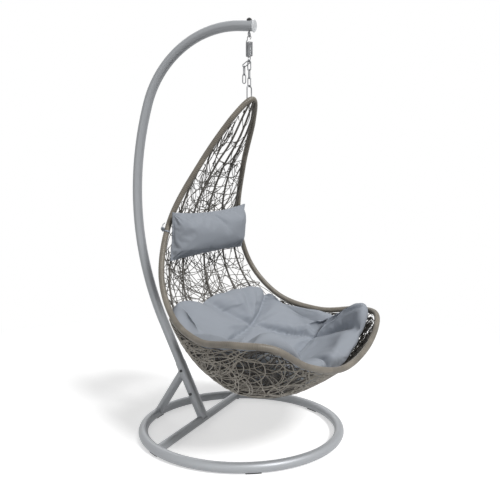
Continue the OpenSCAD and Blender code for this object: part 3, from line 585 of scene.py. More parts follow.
@dataclass
class Shell:
    """The basket's surface: a rim loop, a spine and superellipse sections between them.

    Station s runs from the rim's top (0) to its front lip (1), and angle q, in degrees, from
    the right side (-90) through the spine (0) to the left side (90).
    """

    half_w: float = 0.518
    reach: float = 0.520
    back: float = 0.294
    height: float = 1.202
    depth: float = 0.163
    power: float = 2.34
    lag: float = 0.064
    rim_r: float = 0.014
    turn: float = math.radians(-14)
    small_s: float = 0.004
    small_q: float = 1.5
    hang: Array = field(init=False)
    rim: Array = field(init=False)
    spine: Array = field(init=False)

    def __post_init__(self) -> None:
        """Works out the rim loop, the spine and the shell's edge in the basket's own frame."""
        self.hang = np.array([*joint_at("basket_turn")[:2], 0.0])
        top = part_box("rim_wrap")[1][2] - self.rim_r
        lip = top - self.height
        half = np.array([(x * self.half_w, -y * self.reach, lip + z * self.height) for x, y, z in RIM_SHAPE])
        self.rim = np.vstack([half, half[-2:0:-1] * [-1, 1, 1]])
        self.rim_n = len(half) - 1
        self.spine = np.array([(0, half[0][1], top)]
                              + [(0, y * self.back, lip + z * self.height) for y, z in BACK_SHAPE]
                              + [(0, y * self.reach, lip - z * self.depth) for y, z in SEAT_SHAPE]
                              + [(0, -self.reach, lip)], dtype=float)
        self._line = self.rim_line(900)
        self._edge_s = np.linspace(0, 1, 121)
        self._edge_q = self._edge_angles(self._edge_s, self.rim_r - 0.001)

    def rim_at(self, s: Array) -> Array:
        """The rim's left half at station s."""
        return spline(self.rim, self.rim_n * (s - self.lag * np.sin(math.pi * s)), True)

    def spine_at(self, s: Array) -> Array:
        """The spine at station s."""
        return spline(self.spine, (len(self.spine) - 1) * s, False)

    def at(self, s: Array, q: Array) -> Array:
        """Point of the woven shell's outer face.

        Across, x is the half width times sin(q) to the power 2/p; in depth, the point moves
        from the rim to the spine by cos(q) to the power 2/p.

        Args:
            s: stations.
            q: angles in degrees, of the same shape.

        Returns:
            Points with a last axis of 3, in the basket's frame.
        """
        r, m = self.rim_at(s), self.spine_at(s)
        a = np.radians(q)
        across = np.sign(np.sin(a)) * np.abs(np.sin(a)) ** (2 / self.power)
        down = np.clip(np.cos(a), 0, None) ** (2 / self.power)
        yz = r[..., 1:] + (m[..., 1:] - r[..., 1:]) * down[..., None]
        return np.concatenate([(r[..., 0] * across)[..., None], yz], axis=-1)

    def outward(self, s: Array, q: Array) -> Array:
        """Unit normal of the shell, pointing out of the basket: small steps across times along.

        Args:
            s: stations.
            q: angles in degrees.

        Returns:
            Directions with a last axis of 3.
        """
        s0, s1 = np.clip(s - self.small_s, 0, 1), np.clip(s + self.small_s, 0, 1)
        q0, q1 = np.clip(q - self.small_q, -89, 89), np.clip(q + self.small_q, -89, 89)
        q0 = np.where(q0 >= q1, q1 - 0.5, q0)
        return unit(np.cross(self.at(s, q1) - self.at(s, q0), self.at(s1, q) - self.at(s0, q)))

    def inside(self, s: Array, q: Array, depth: Array) -> Array:
        """Point a depth inside the shell."""
        return self.at(s, q) - np.asarray(depth)[..., None] * self.outward(s, q)

    def rim_line(self, count: int) -> Array:
        """Points along the whole rim, evenly by length.

        Args:
            count: number of points.

        Returns:
            Array (count, 3) in the basket's frame.
        """
        u = np.linspace(0, len(self.rim), 4001)
        run = run_of(spline(self.rim, u, True))
        return spline(self.rim, np.interp(np.arange(count) / count * run[-1], run, u), True)

    def off_rim(self, p: Array) -> Array:
        """Distance of points (n, 3) in the basket's frame from the rim's line."""
        return np.min(np.linalg.norm(p[:, None] - self._line[None], axis=-1), axis=1)

    def _edge_angles(self, s: Array, off: float) -> Array:
        """The angle at each station where the shell comes within a distance of the rim's line.

        Args:
            s: stations.
            off: the distance.

        Returns:
            Angles in degrees, found by halving.
        """
        low, high = np.zeros(len(s)), np.full(len(s), 90.0)
        for _ in range(12):
            mid = (low + high) / 2
            clear = self.off_rim(self.at(s, mid)) > off
            low, high = np.where(clear, mid, low), np.where(clear, high, mid)
        return low

    def edge(self, s: Array) -> Array:
        """The angle where the shell meets the rim, at any stations."""
        return np.interp(s, self._edge_s, self._edge_q)

    def place(self, p: Array) -> Array:
        """Moves points from the basket's frame to the model's."""
        return np.stack([*turned(p[..., 0], p[..., 1], self.turn), p[..., 2]], axis=-1) + self.hang

    def aim(self, v: Array) -> Array:
        """Turns directions from the basket's frame to the model's."""
        return self.place(v) - self.hang


@dataclass
class RimAndRibs:
    """The wrapped rim and the wrapped ribs."""

    shell: Shell
    pitch: float = 0.009
    groove: float = 0.0009
    rim_points: int = 2600
    rib_r: float = 0.0050
    rib_in: float = 0.0091
    rib_pitch: float = 0.0085
    rib_groove: float = 0.0006
    rib_step: float = 0.0025
    ease: float = 0.12
    wide: float = 0.745
    inner: Span = (0.5, 0.02)
    outer: Span = (0.8, 0.26)
    mouth: Triple = (0.0, -0.05, 0.95)

    def wind(self, name: str, path: Array, windings: Array, radius: float, groove: float, sides: int,
             closed: bool) -> Piece:
        """A tube wound with one round strand.

        Its radius falls by the groove's depth where the strand's windings meet. The share of a
        winding is the windings so far less the share around, and the fall is the sixth power
        of the cosine of half a turn of that share.

        Args:
            name: the piece's name.
            path: array (m, 3) of the tube's middle.
            windings: array (m,) of windings so far.
            radius: the outer radius.
            groove: depth of the groove.
            sides: points round the tube.
            closed: True for a loop.

        Returns:
            The piece.
        """
        share = windings[:, None] - (np.arange(sides) / sides)[None]
        ridged = (radius - groove * np.cos(math.pi * share) ** 6)[None]
        inner = self.shell.place(np.array(self.mouth)) - path
        verts, faces, uv = sweep(path[None], inner[None], ridged, sides, closed)
        return make_object(name, verts, faces, uv)

    def rim(self) -> None:
        """The rim's strand, wound closely round its tube."""
        path = self.shell.place(self.shell.rim_line(self.rim_points))
        length = np.sum(np.linalg.norm(path - np.roll(path, 1, axis=0), axis=1))
        windings = np.arange(self.rim_points) / self.rim_points * round(length / self.pitch)
        obj = self.wind("rim_winding", path, windings, self.shell.rim_r, self.groove, 20, True)
        dress(obj, RIM_WRAP, "basket")
        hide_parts("rim_wrap")

    def share(self, f: float, s: Array, on: float) -> Array:
        """A rib's share of the half width.

        Args:
            f: its share where the basket is widest.
            s: stations.
            on: station where the rib leaves the rim.

        Returns:
            A share for each station, which keeps its width in metres in front of the widest place.
        """
        start = 1 + eased((s - on) / self.ease, f - 1)
        wide = self.shell.rim_at(np.array(self.wide))[0]
        late = np.minimum(1, f * wide / np.maximum(self.shell.rim_at(s)[..., 0], 1e-4))
        return np.where(s < self.wide, start, late)

    def rib(self, name: str, f: float, on: float, side: int) -> None:
        """One rib with the strand wound round it.

        Args:
            name: its CAD node.
            f: its share of the half width.
            on: station where it leaves the rim.
            side: 1 for the left side, -1 for the right.
        """
        s = np.linspace(0, 1, 1601)
        q = np.degrees(np.arcsin(np.clip(self.share(f, s, on), 0, 1) ** (self.shell.power / 2)))
        path = self.shell.inside(s, q * side, np.full(len(s), self.rib_in))
        keep = (self.shell.off_rim(path) > self.shell.rim_r - 0.004) & (s > max(on, 0.004))
        path = self.shell.place(path[keep])
        run = run_of(path)
        even = np.linspace(0, run[-1], int(run[-1] / self.rib_step))
        path = np.stack([np.interp(even, run, path[:, i]) for i in range(3)], axis=-1)
        obj = self.wind(name + "_winding", path, even / self.rib_pitch, self.rib_r, self.rib_groove, 12, False)
        dress(obj, RIB_WRAP, "basket")
        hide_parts(name)

    def build(self) -> None:
        """Winds the rim and the five ribs."""
        dress_nodes(("rim_tube",), RIM_STEEL)
        self.rim()
        self.rib("rib_centre", 0.0, -self.ease, 1)
        for label, (f, on) in (("inner", self.inner), ("outer", self.outer)):
            for way, side in (("left", 1), ("right", -1)):
                self.rib(f"rib_{label}_{way}", f, on, side)


@dataclass(frozen=True)
class Layer:
    """The strands of one piece of the weave.

    Its numbers are how many there are, how long each is, the length of a segment, the radius,
    the least and greatest station, depth of an axis inside the shell and radius of a curve,
    the share that follow the main slant with its angle and spread, and the least and greatest
    tone, each strand's value drawn at random between them; these spans are painted shade and
    painted light, low for the back and inner seat strands that lie in shade and high for the
    outer seat strands where they are lit. Last are the CAD nodes that the piece stands for.
    """

    name: str
    count: int
    length: float
    step: float
    radius: float
    region: Span
    depth: Span
    curve: Span
    slant: Triple
    tone: Span
    replaces: tuple[str, ...] = ()


ACROSS, ALONG = (0.75, 1.45, 0.4), (0.55, 0.5, 0.4)
# The last span of each layer is painted shade and painted light: the back and inner seat strands are kept dark for the
# shade they lie in, the middle ones a little lighter, and the outer seat strands light for being lit; only the spread
# within a span is random.
LAYERS = (
    Layer("back_strands_top", 40, 0.24, 0.007, 0.0017, (0.02, 0.38), (0.0022, 0.0062), (0.03, 0.10), ACROSS,
          (0.10, 0.22), ("back_weave",)),
    Layer("back_strands", 145, 0.60, 0.009, 0.0017, (0.10, 0.64), (0.0022, 0.0062), (0.09, 0.55), ACROSS,
          (0.10, 0.26)),
    Layer("seat_strands_inner", 190, 0.60, 0.0145, 0.0021, (0.57, 0.90), (0.0058, 0.0095), (0.07, 0.30), ALONG,
          (0.0, 0.08), ("seat_weave",)),
    Layer("seat_strands_middle", 210, 0.55, 0.0125, 0.0021, (0.56, 0.94), (0.0028, 0.006), (0.07, 0.28), ALONG,
          (0.03, 0.30)),
    Layer("seat_strands_outer", 300, 0.42, 0.0115, 0.0020, (0.56, 0.985), (-0.0015, 0.0022), (0.06, 0.24), ALONG,
          (0.5, 1.0)))


@dataclass
class Weave:
    """Strands laid over the shell in free curves that turn back at the rim."""

    shell: Shell
    seed: int = 11
    sides: int = 5
    sway: float = 0.35
    sway_length: Span = (0.25, 0.6)
    swing: float = 0.0016
    swing_length: Span = (0.05, 0.11)
    probe_s: float = 0.002
    probe_q: float = 0.5
    last_q: float = 89.9

    def walk(self, s: Array, q: Array, heading: Array, bend: Array, step: float, limits: Span) -> tuple[Array, Array]:
        """Lays strands over the surface, one step of all strands at a time.

        A step moves each strand by its length along its heading, measured on the surface, and
        the heading turns by the bend. At the rim and at the region's ends it is mirrored.

        Args:
            s: array (n,) of starting stations.
            q: array (n,) of starting angles.
            heading: array (n,) of directions in radians; 0 runs towards the front lip.
            bend: array (n, m) of turns per step.
            step: length of a step in metres.
            limits: lowest and highest station.

        Returns:
            Arrays (n, m) of stations and angles.
        """
        out_s, out_q = np.empty_like(bend), np.empty_like(bend)
        low, high = limits
        at, small, last = self.shell.at, self.probe_s, self.last_q
        for k in range(bend.shape[1]):
            out_s[:, k], out_q[:, k] = s, q
            q0, q1 = np.clip(q - self.probe_q, -last, last), np.clip(q + self.probe_q, -last, last)
            per_s = np.linalg.norm(at(np.clip(s + small, 0, 1), q) - at(s - small, q), axis=-1)
            per_q = np.linalg.norm(at(s, q1) - at(s, q0), axis=-1)
            s = s + step * np.cos(heading) * (2 * small) / np.maximum(per_s, 1e-4)
            q = q + step * np.sin(heading) / np.maximum(per_q, 1e-4)
            heading = heading + bend[:, k]
            over = (s < low) | (s > high)
            s = np.where(s < low, 2 * low - s, np.where(s > high, 2 * high - s, s))
            heading = np.where(over, math.pi - heading, heading)
            edge = self.shell.edge(s)
            past = np.abs(q) > edge
            q = np.where(past, np.sign(q) * np.maximum(2 * edge - np.abs(q), 0), q)
            heading = np.where(past, -heading, heading)
        return out_s, out_q

    @staticmethod
    def wave(rng: np.random.Generator, t: Array, lengths: Span, count: int) -> Array:
        """Sine along each strand, whose wavelength and start are drawn by chance."""
        return np.sin(TAU * t / rng.uniform(*lengths, count)[:, None] + rng.uniform(0, TAU, count)[:, None])

    def strands(self, layer: Layer, rng: np.random.Generator) -> None:
        """One piece of many strands, which start evenly by the shell's girth but thinly at its top.

        Args:
            layer: what the piece is made of.
            rng: the seeded source of chance.
        """
        count, step = layer.count, layer.step
        m = int(layer.length / step) + 1
        area = np.linspace(*layer.region, 200)
        rim, spine = self.shell.rim_at(area), self.shell.spine_at(area)
        girth = rim[:, 0] + 0.5 * np.linalg.norm(rim[:, 1:] - spine[:, 1:], axis=1) + 0.01
        girth = girth * np.interp(area, [0.0, 0.15, 0.45], [0.3, 0.3, 1.0])
        s = np.interp(rng.random(count), np.cumsum(girth) / np.sum(girth), area)
        q = rng.uniform(-1, 1, count) * self.shell.edge(s)
        heading = rng.uniform(0, TAU, count)
        follow = rng.random(count) < layer.slant[0]
        lean = layer.slant[1] + layer.slant[2] * rng.standard_normal(count)
        heading = np.where(follow, -np.sign(q) * lean, heading)
        bend = (step / rng.uniform(*layer.curve, count) * rng.choice([-1, 1], count))[:, None]
        t = np.arange(m)[None] * step
        bend = bend * (1 + self.sway * self.wave(rng, t, self.sway_length, count)) * np.ones((count, m))
        ss, qq = self.walk(s, q, heading, bend, step, layer.region)
        mid = rng.uniform(*layer.depth, count)[:, None]
        swing = self.swing * self.wave(rng, t, self.swing_length, count)
        path = self.shell.inside(ss, qq, np.clip(mid + swing, *layer.depth))
        for _ in range(5):
            path[:, 1:-1] = 0.25 * path[:, :-2] + 0.5 * path[:, 1:-1] + 0.25 * path[:, 2:]
        normal = self.shell.aim(self.shell.outward(ss, qq))
        verts, faces, uv = sweep(self.shell.place(path), normal, np.array(layer.radius), self.sides, False)
        # Each strand's value is drawn at random within the layer's span, and that span holds the layer's painted shade
        # or painted light.
        own = np.repeat(rng.uniform(*layer.tone, count), m * self.sides)
        obj = dress(make_object(layer.name, verts, faces, uv, own), STRAND_WITH_PAINTED_SHADE, "basket")
        if layer.replaces:
            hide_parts(*layer.replaces)

    def build(self) -> None:
        """Weaves the open back and the close seat."""
        rng = np.random.default_rng(self.seed)
        for layer in LAYERS:
            self.strands(layer, rng)


# ---------------------------------------------------------------- cushions

COVER = {"quality": 5, "mass": 0.25, "tension_stiffness": 12, "compression_stiffness": 12, "shear_stiffness": 4,
         "use_pressure": True, "vertex_group_mass": "held"}


def inflate(obj: Piece, held: Array, pressure: float, cap: float, frames: int, slack: float, bending: float) -> None:
    """Fills a cover with Cloth and keeps the result in its mesh.

    Args:
        obj: the closed cover.
        held: array (n,), 1 where the cover is sewn down and stays put.
        pressure: the filling's pressure.
        cap: the farthest that a point may move, in metres.
        frames: frames to run.
        slack: share by which the cloth is larger than the cover.
        bending: the cloth's stiffness against bending.
    """
    before = vertex_array(obj.data, "co")
    group = obj.vertex_groups.new(name="held")
    for i in np.flatnonzero(held > 0.02):
        group.add([int(i)], float(held[i]), "REPLACE")
    cloth = obj.modifiers.new("Cloth", "CLOTH")
    own = {"bending_stiffness": bending, "uniform_pressure_force": pressure, "shrink_min": -slack}
    for label, value in {**COVER, **own}.items():
        setattr(cloth.settings, label, value)
    cloth.settings.effector_weights.gravity = 0
    cloth.collision_settings.use_collision = False
    for number in range(1, frames + 1):
        bpy.context.scene.frame_set(number)
    shown = obj.evaluated_get(bpy.context.evaluated_depsgraph_get())
    move = vertex_array(shown.to_mesh(), "co") - before
    shown.to_mesh_clear()
    obj.modifiers.remove(cloth)
    obj.vertex_groups.remove(group)
    bpy.context.scene.frame_set(1)
    far = np.linalg.norm(move, axis=1, keepdims=True)
    move *= np.minimum(1, cap / np.maximum(far, 1e-9))
    obj.data.vertices.foreach_set("co", (before + move).ravel())
    obj.data.update()
    LOG.info("filled %s: mean move %.1f mm, greatest %.1f mm", obj.name, 1000 * far.mean(), 1000 * far.max())


def subdivide(obj: Piece) -> None:
    """Adds one level of subdivision, shown and rendered alike."""
    level = obj.modifiers.new("Smooth", "SUBSURF")
    level.levels = level.render_levels = 1


@dataclass
class SeatCushion:
    """A broad pad that lies in the basket, sewn down at four tufts with creases between its lobes."""

    shell: Shell
    under: float = 0.0151
    under_rise: float = 0.012
    thick: float = 0.116
    half: float = 0.45
    mid_s: float = 0.735
    front: float = 0.24
    rear: float = 0.21
    side: float = 96.0
    steepest: float = 84.0
    per_degree: float = 0.0065
    square: float = 4.0
    tufts: int = 4
    tuft_turn: float = math.radians(77.5)
    tuft_far: float = 0.50
    tuft_deep: float = 0.094
    tuft_wide: float = 0.115
    crease_deep: float = 0.084
    crease_wide: float = 0.090
    crease_ways: tuple[Span, ...] = ((-0.39, 1.0), (0.39, 1.0), (0.0, 0.45), (-0.2, 0.2), (0.2, 0.2))
    crease_between: float = 0.8
    scallop: float = 0.10
    sags: tuple[Triple, ...] = ((212.0, 26.0, 0.034), (126.0, 20.0, 0.016))
    gather: float = 0.0042
    ripple: float = 0.0012
    flat: float = 0.86
    rounding: float = 0.14
    under_rows: int = 14
    top_rows: int = 40
    around: int = 224

    def spots(self) -> list[Array]:
        """Places of the tufts, as shares of the way to the edge."""
        return [self.tuft_far * np.array([math.cos(t), math.sin(t)])
                for t in (self.tuft_turn + TAU * k / self.tufts for k in range(self.tufts))]

    def creases(self) -> list[tuple[Array, Array, float]]:
        """Straight creases: from each tuft some to the edge and one to the next tuft.

        Returns:
            A list of start, end and strength.
        """
        lines = []
        for k, spot in enumerate(self.spots()):
            turn = self.tuft_turn + TAU * k / self.tufts
            for swing, strength in self.crease_ways:
                lines.append((spot, 1.1 * np.array([math.cos(turn + swing), math.sin(turn + swing)]), strength))
            lines.append((spot, self.spots()[(k + 1) % self.tufts], self.crease_between))
        return lines

    def off_crease(self, p: Array, start: Array, end: Array) -> Array:
        """Distance of a place of the pad from one crease.

        Args:
            p: array (..., 2) of shares of the way to the edges.
            start: the crease's start.
            end: the crease's end.

        Returns:
            Distance in metres.
        """
        way = end - start
        t = np.clip((p - start) @ way / (way @ way), 0, 1)
        return np.linalg.norm(p - start - t[..., None] * way, axis=-1) * self.half

    def off_tuft(self, p: Array) -> Array:
        """Distance of a place (..., 2) of the pad from the nearest tuft, in metres."""
        return np.min([np.linalg.norm(p - spot, axis=-1) for spot in self.spots()], axis=0) * self.half

    def full(self, a: Array, b: Array) -> Array:
        """Thickness at a place of the pad.

        A crown that falls with the square of the distance from the middle, less the deeper of
        the puffed falls to the tufts and to the creases, and less slack lobes whose loss is a
        Gauss curve of the direction.

        Args:
            a: share of the way to the front or rear edge.
            b: share of the way to the left or right edge.

        Returns:
            Thickness in metres.
        """
        p = np.stack([a, b], axis=-1)
        groove = np.zeros_like(a)
        for start, end, strength in self.creases():
            width = self.crease_wide * (0.4 + 0.6 * strength)
            groove = np.maximum(groove, strength * puffed(self.off_crease(p, start, end), width))
        crown = self.thick * (1.12 - 0.25 * np.minimum(1, a * a + b * b))
        for turn, width, loss in self.sags:
            off = (np.degrees(np.arctan2(b, a)) - turn + 180) % 360 - 180
            crown = crown - loss * np.exp(-(off / width) ** 2) * np.clip(2 * np.hypot(a, b) - 0.8, 0, 1)
        return crown - np.maximum(self.tuft_deep * puffed(self.off_tuft(p), self.tuft_wide), self.crease_deep * groove)

    def point(self, far: Array, turn: Array, h: Array) -> Array:
        """Place of the cover: a superellipse notched at the two strongest creases of each tuft.

        Args:
            far: share of the way from the middle to the edge.
            turn: direction, 0 towards the front lip.
            h: share of the thickness, 0 underneath and 1 on top.

        Returns:
            Points in the basket's frame.
        """
        pinch = np.zeros_like(turn)
        for k in range(self.tufts):
            for swing, _ in self.crease_ways[:2]:
                off = (turn - self.tuft_turn - TAU * k / self.tufts - swing + math.pi) % TAU - math.pi
                pinch = np.maximum(pinch, np.exp(-np.abs(off) / 0.10))
        notch = 1 - self.scallop * pinch * np.clip((far - 0.6) / 0.4, 0, 1)
        corner = (np.abs(np.cos(turn)) ** self.square + np.abs(np.sin(turn)) ** self.square) ** (-1 / self.square)
        a, b = far * notch * corner * np.cos(turn), far * notch * corner * np.sin(turn)
        s = self.mid_s + np.where(a > 0, self.front, self.rear) * a
        q = self.side * b
        under = self.under + eased((np.abs(q) - 50) / 30, self.under_rise)
        base = self.shell.inside(s, np.clip(q, -self.steepest, self.steepest), under + h * self.full(a, b))
        mouth = self.shell.rim_at(s) - self.shell.spine_at(s)
        mouth[..., 0] = 0
        return base + np.maximum(0, np.abs(q) - self.steepest)[..., None] * self.per_degree * unit(mouth)

    def wrinkles(self, obj: Piece, a: Array, b: Array, top: Array) -> None:
        """Gathers the cloth round the tufts: low ridges that fan out from each and die away.

        Each fan is a sum of two sines of the direction, and a product of two bent sines of the
        place ripples the cloth between them.

        Args:
            obj: the cover.
            a: share of the way to the front edge, for each point.
            b: share of the way to the left edge.
            top: 1 where the cover may be wrinkled.
        """
        mesh = obj.data
        lift = np.zeros(len(a))
        for k, spot in enumerate(self.spots()):
            near = np.hypot(a - spot[0], b - spot[1]) * self.half
            turn = np.arctan2(b - spot[1], a - spot[0])
            fan = np.sin(13 * turn + k) + 0.6 * np.sin(8 * turn + 2.1 * k + 1)
            lift += self.gather * fan * np.clip(near / 0.03, 0, 1) * np.exp(-near / 0.07)
        broad = np.sin(31 * a + 3 * np.sin(5 * b)) * np.sin(23 * b + 2 * np.sin(7 * a))
        lift = (lift + self.ripple * broad) * top
        raised = vertex_array(mesh, "co") + vertex_array(mesh, "normal") * lift[:, None]
        mesh.vertices.foreach_set("co", raised.ravel())
        mesh.update()

    def build(self) -> None:
        """Makes the cover, fills it and lays it in the basket."""
        rise, fall = np.linspace(0.15, math.pi / 2, 7), np.linspace(math.pi / 2, 0.0, 8)[1:]
        far = np.concatenate([np.linspace(0.04, self.flat, self.under_rows), self.flat + self.rounding * np.sin(rise),
                              self.flat + self.rounding * np.sin(fall), np.linspace(0.84, 0.03, self.top_rows)])
        lift = np.concatenate([np.zeros(self.under_rows), 0.5 - 0.5 * np.cos(rise), 0.5 + 0.5 * np.cos(fall),
                               np.ones(self.top_rows)])
        f, t = np.meshgrid(far, TAU * np.arange(self.around) / self.around, indexing="ij")
        h = np.broadcast_to(lift[:, None], f.shape)
        zero = np.zeros(1)
        verts = np.vstack([self.point(f, t, h).reshape(-1, 3), self.point(zero, zero, zero),
                           self.point(zero, zero, np.ones(1))])
        rows, cols = f.shape
        k = np.arange(cols)
        after, last = (k + 1) % cols, (rows - 1) * cols
        faces = [grid_faces(rows, cols, False, True),
                 np.stack([np.full(cols, rows * cols), after, k], axis=-1),
                 np.stack([np.full(cols, rows * cols + 1), last + k, last + after], axis=-1)]
        a, b = f * np.cos(t), f * np.sin(t)
        uv = np.vstack([np.stack([self.half * f * np.cos(t) + h, self.half * f * np.sin(t)], axis=-1).reshape(-1, 2),
                        [[0, 0], [1, 0]]])
        obj = make_object("seat_cushion_cover", self.shell.place(verts), [group[:, ::-1] for group in faces], uv)
        dress(obj, CLOTH)
        p = np.stack([a, b], axis=-1)
        sewn = np.exp(-(self.off_tuft(p) / 0.016) ** 2)
        for start, end, strength in self.creases():
            sewn = np.maximum(sewn, 0.95 * strength * np.exp(-(self.off_crease(p, start, end) / 0.008) ** 2))
        held = np.where(h < 0.01, 1.0, sewn)
        inflate(obj, np.append(held.ravel(), [1.0, 1.0]), pressure=3.0, cap=0.009, frames=14, slack=0.03,
                bending=0.2)
        self.wrinkles(obj, *(np.append(value.ravel(), [0.0, 0.0]) for value in (a, b, h)))
        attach(obj, "basket")
        subdivide(obj)
        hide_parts("seat_cushion")


@dataclass
class HeadPillow:
    """An oblong pillow between the rim's sides, tied at its ends."""

    shell: Shell
    length: float = 0.550
    height: float = 0.235
    thick: float = 0.100
    edge: float = 0.0025
    drop: float = 0.628
    behind: float = 0.0074
    lean: float = math.radians(9)
    roll: float = math.radians(4.7)
    swept: float = 0.025
    drawn_ends: float = 0.045
    drawn_top: float = 0.17
    drawn_bottom: float = 0.07
    fold_at: Span = (-0.012, 0.094)
    fold_way: Span = (0.055, -0.05)
    fold_deep: float = 0.038
    fold_wide: float = 0.045
    gather: float = 0.0030
    columns: int = 90
    rows: int = 46

    def point(self, a: Array, b: Array, side: Array) -> Array:
        """Place of the cover: a puffed oblong whose edges draw in between its corners.

        The thickness is the square root of the product of 1 less a power of each share. A fold
        hangs from the upper edge's middle, and low ridges fan out from the corners.

        Args:
            a: share of the way from the middle to the left end.
            b: share of the way from the middle to the upper edge.
            side: 1 on the front face, -1 on the rear face.

        Returns:
            Points in the basket's frame.
        """
        x = a * self.length / 2 * (1 - self.drawn_ends * (1 - b * b))
        z = b * self.height / 2 * (1 - np.where(b > 0, self.drawn_top, self.drawn_bottom) * (1 - a * a))
        puff = np.sqrt(np.maximum(0, (1 - np.abs(a) ** 3.4) * (1 - np.abs(b) ** 2.8)))
        (fx, fz), (wx, wz) = self.fold_at, self.fold_way
        along = np.clip((wx * (x - fx) + wz * (z - fz)) / (wx ** 2 + wz ** 2), 0, 1)
        fold = np.hypot(x - fx - wx * along, z - fz - wz * along)
        loss = self.fold_deep * puffed(fold, self.fold_wide) * (1 - 0.5 * along)
        for end in (-1, 1):
            for level in (-1, 1):
                dx, dz = x - end * self.length / 2, z - level * self.height / 2
                spread, fan = np.hypot(dx, dz), np.arctan2(-dz, -dx)
                ridge = np.sin(15 * fan + end) * np.exp(-spread / 0.09) * np.clip(spread / 0.03, 0, 1)
                loss = loss + self.gather * ridge
        deep = self.edge + (self.thick / 2 - self.edge) * puff - np.where(side > 0, loss * np.minimum(1, 3 * puff), 0)
        y = self.swept * (1 - (1 - a ** 4) * (1 - b ** 4)) - side * np.maximum(deep, self.edge)
        y, z = turned(y, z, self.lean)
        x, z = turned(x, z, self.roll)
        top = self.shell.rim_at(np.array(0.0))[2] - self.drop
        depth = 0.965 * self.shell.back - self.behind - self.thick / 2
        return np.stack([x, y + depth, z + top], axis=-1)

    def build(self) -> None:
        """Makes the cover, fills it and sets it in the basket."""
        a, b = (np.sin(np.linspace(-1, 1, count) * math.pi / 2) for count in (self.columns, self.rows))
        f, g = np.meshgrid(a, np.concatenate([b, b[::-1]]), indexing="ij")
        side = np.broadcast_to(np.repeat([1.0, -1.0], self.rows), f.shape)
        rows, cols = f.shape
        ring = np.arange(cols)
        faces = [grid_faces(rows, cols, False, True)[:, ::-1], ring[None], ((rows - 1) * cols + ring[::-1])[None]]
        uv = np.stack([0.5 * self.length * f, 0.5 * self.height * g + 0.3 * side], axis=-1).reshape(-1, 2)
        verts = self.shell.place(self.point(f, g, side).reshape(-1, 3))
        obj = dress(make_object("head_pillow_cover", verts, faces, uv), CLOTH)
        held = np.where(np.maximum(np.abs(f), np.abs(g)) > 0.999, 0.8, 0.0)
        inflate(obj, held.ravel(), pressure=3.0, cap=0.012, frames=18, slack=0.03, bending=0.3)
        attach(obj, "basket")
        subdivide(obj)
        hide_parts("head_pillow")


@dataclass
class Ties:
    """Two ribbons of the pillow, each tied round the rim in a bow at its back."""

    shell: Shell
    at: float = 3.25
    clear: float = 0.0006
    wide: float = 0.008
    thick: float = 0.001
    loop: float = 0.013
    knot_off: float = 0.004
    knot_half: float = 0.006
    knot_high: float = 0.0035
    hang: float = 0.038
    aim: float = math.radians(52)
    sides: int = 12

    def ribbon(self, path: Array, flat: Array, closed: bool) -> tuple[Array, list[Array]]:
        """A flat ribbon whose section is a superellipse of the fourth power.

        Args:
            path: array (m, 3) of points.
            flat: array that broadcasts to path, the way that the ribbon's face looks.
            closed: True for a loop.

        Returns:
            Vertices and face arrays.
        """
        angle = TAU * np.arange(self.sides) / self.sides
        radius = (np.abs(np.cos(angle) / (self.thick / 2)) ** 4 + np.abs(np.sin(angle) / (self.wide / 2)) ** 4) ** -0.25
        return sweep(path[None], flat, radius, self.sides, closed)[:2]

    def tie(self, side: int) -> list[tuple[Array, list[Array]]]:
        """Ribbon round the rim, knot, two loops and two ends of one tie.

        Args:
            side: 1 for the left side, -1 for the right.

        Returns:
            A list of vertices and face arrays.
        """
        u = np.array([self.at - 0.05, self.at, self.at + 0.05])
        below, centre, above = spline(self.shell.rim, u, True) * [side, 1, 1]
        along = unit(above - below)
        outer = unit(np.array([side * math.cos(self.aim), math.sin(self.aim), 0.0]))
        outer = unit(outer - along * (outer @ along))
        across = np.cross(along, outer)

        def curve(start: Array, sideways: Array, up: Array, out: Array) -> Array:
            """Points off a start, by lengths across, along and out of the rim."""
            return start + sideways[:, None] * across + up[:, None] * along + out[:, None] * outer

        ring = self.shell.rim_r + self.clear + self.thick / 2
        turn = TAU * np.arange(48) / 48
        face = curve(np.zeros(3), np.sin(turn), 0 * turn, np.cos(turn))
        knot = centre + (ring + self.knot_off) * outer
        t = np.linspace(-1, 1, 15)
        parts = [self.ribbon(centre + ring * face, face, True),
                 self.ribbon(curve(knot, 0 * t, self.knot_half * t, self.knot_high * (1 - t ** 2)), outer, False)]
        lobe, fall = np.linspace(0, TAU, 33)[:-1], np.linspace(0, 1, 20)
        reach, rise = self.loop * (1 - np.cos(lobe)), 0.8 * self.loop * np.sin(lobe) * np.sin(lobe / 2)
        for way in (-1, 1):
            path = curve(knot, way * reach, -0.35 * reach, rise)
            slope = unit(np.roll(path, -1, axis=0) - np.roll(path, 1, axis=0))
            parts.append(self.ribbon(path, unit(np.cross(slope, along)), True))
            path = curve(knot, way * (0.012 * fall + 0.006 * np.sin(5 * fall)), -self.hang * fall,
                         0.007 * np.sin(3 * fall))
            parts.append(self.ribbon(path, outer, False))
        return parts

    def build(self) -> None:
        """Ties both bows as one piece."""
        verts, faces, total = [], [], 0
        for side in (1, -1):
            for points, groups in self.tie(side):
                verts.append(points)
                faces.extend(group + total for group in groups)
                total += len(points)
        body = np.vstack(verts)
        obj = make_object("tied_ribbons", self.shell.place(body), faces, body[:, [0, 2]])
        dress(obj, CLOTH, "basket")
        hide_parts("pillow_ties")


# ---------------------------------------------------------------- stage

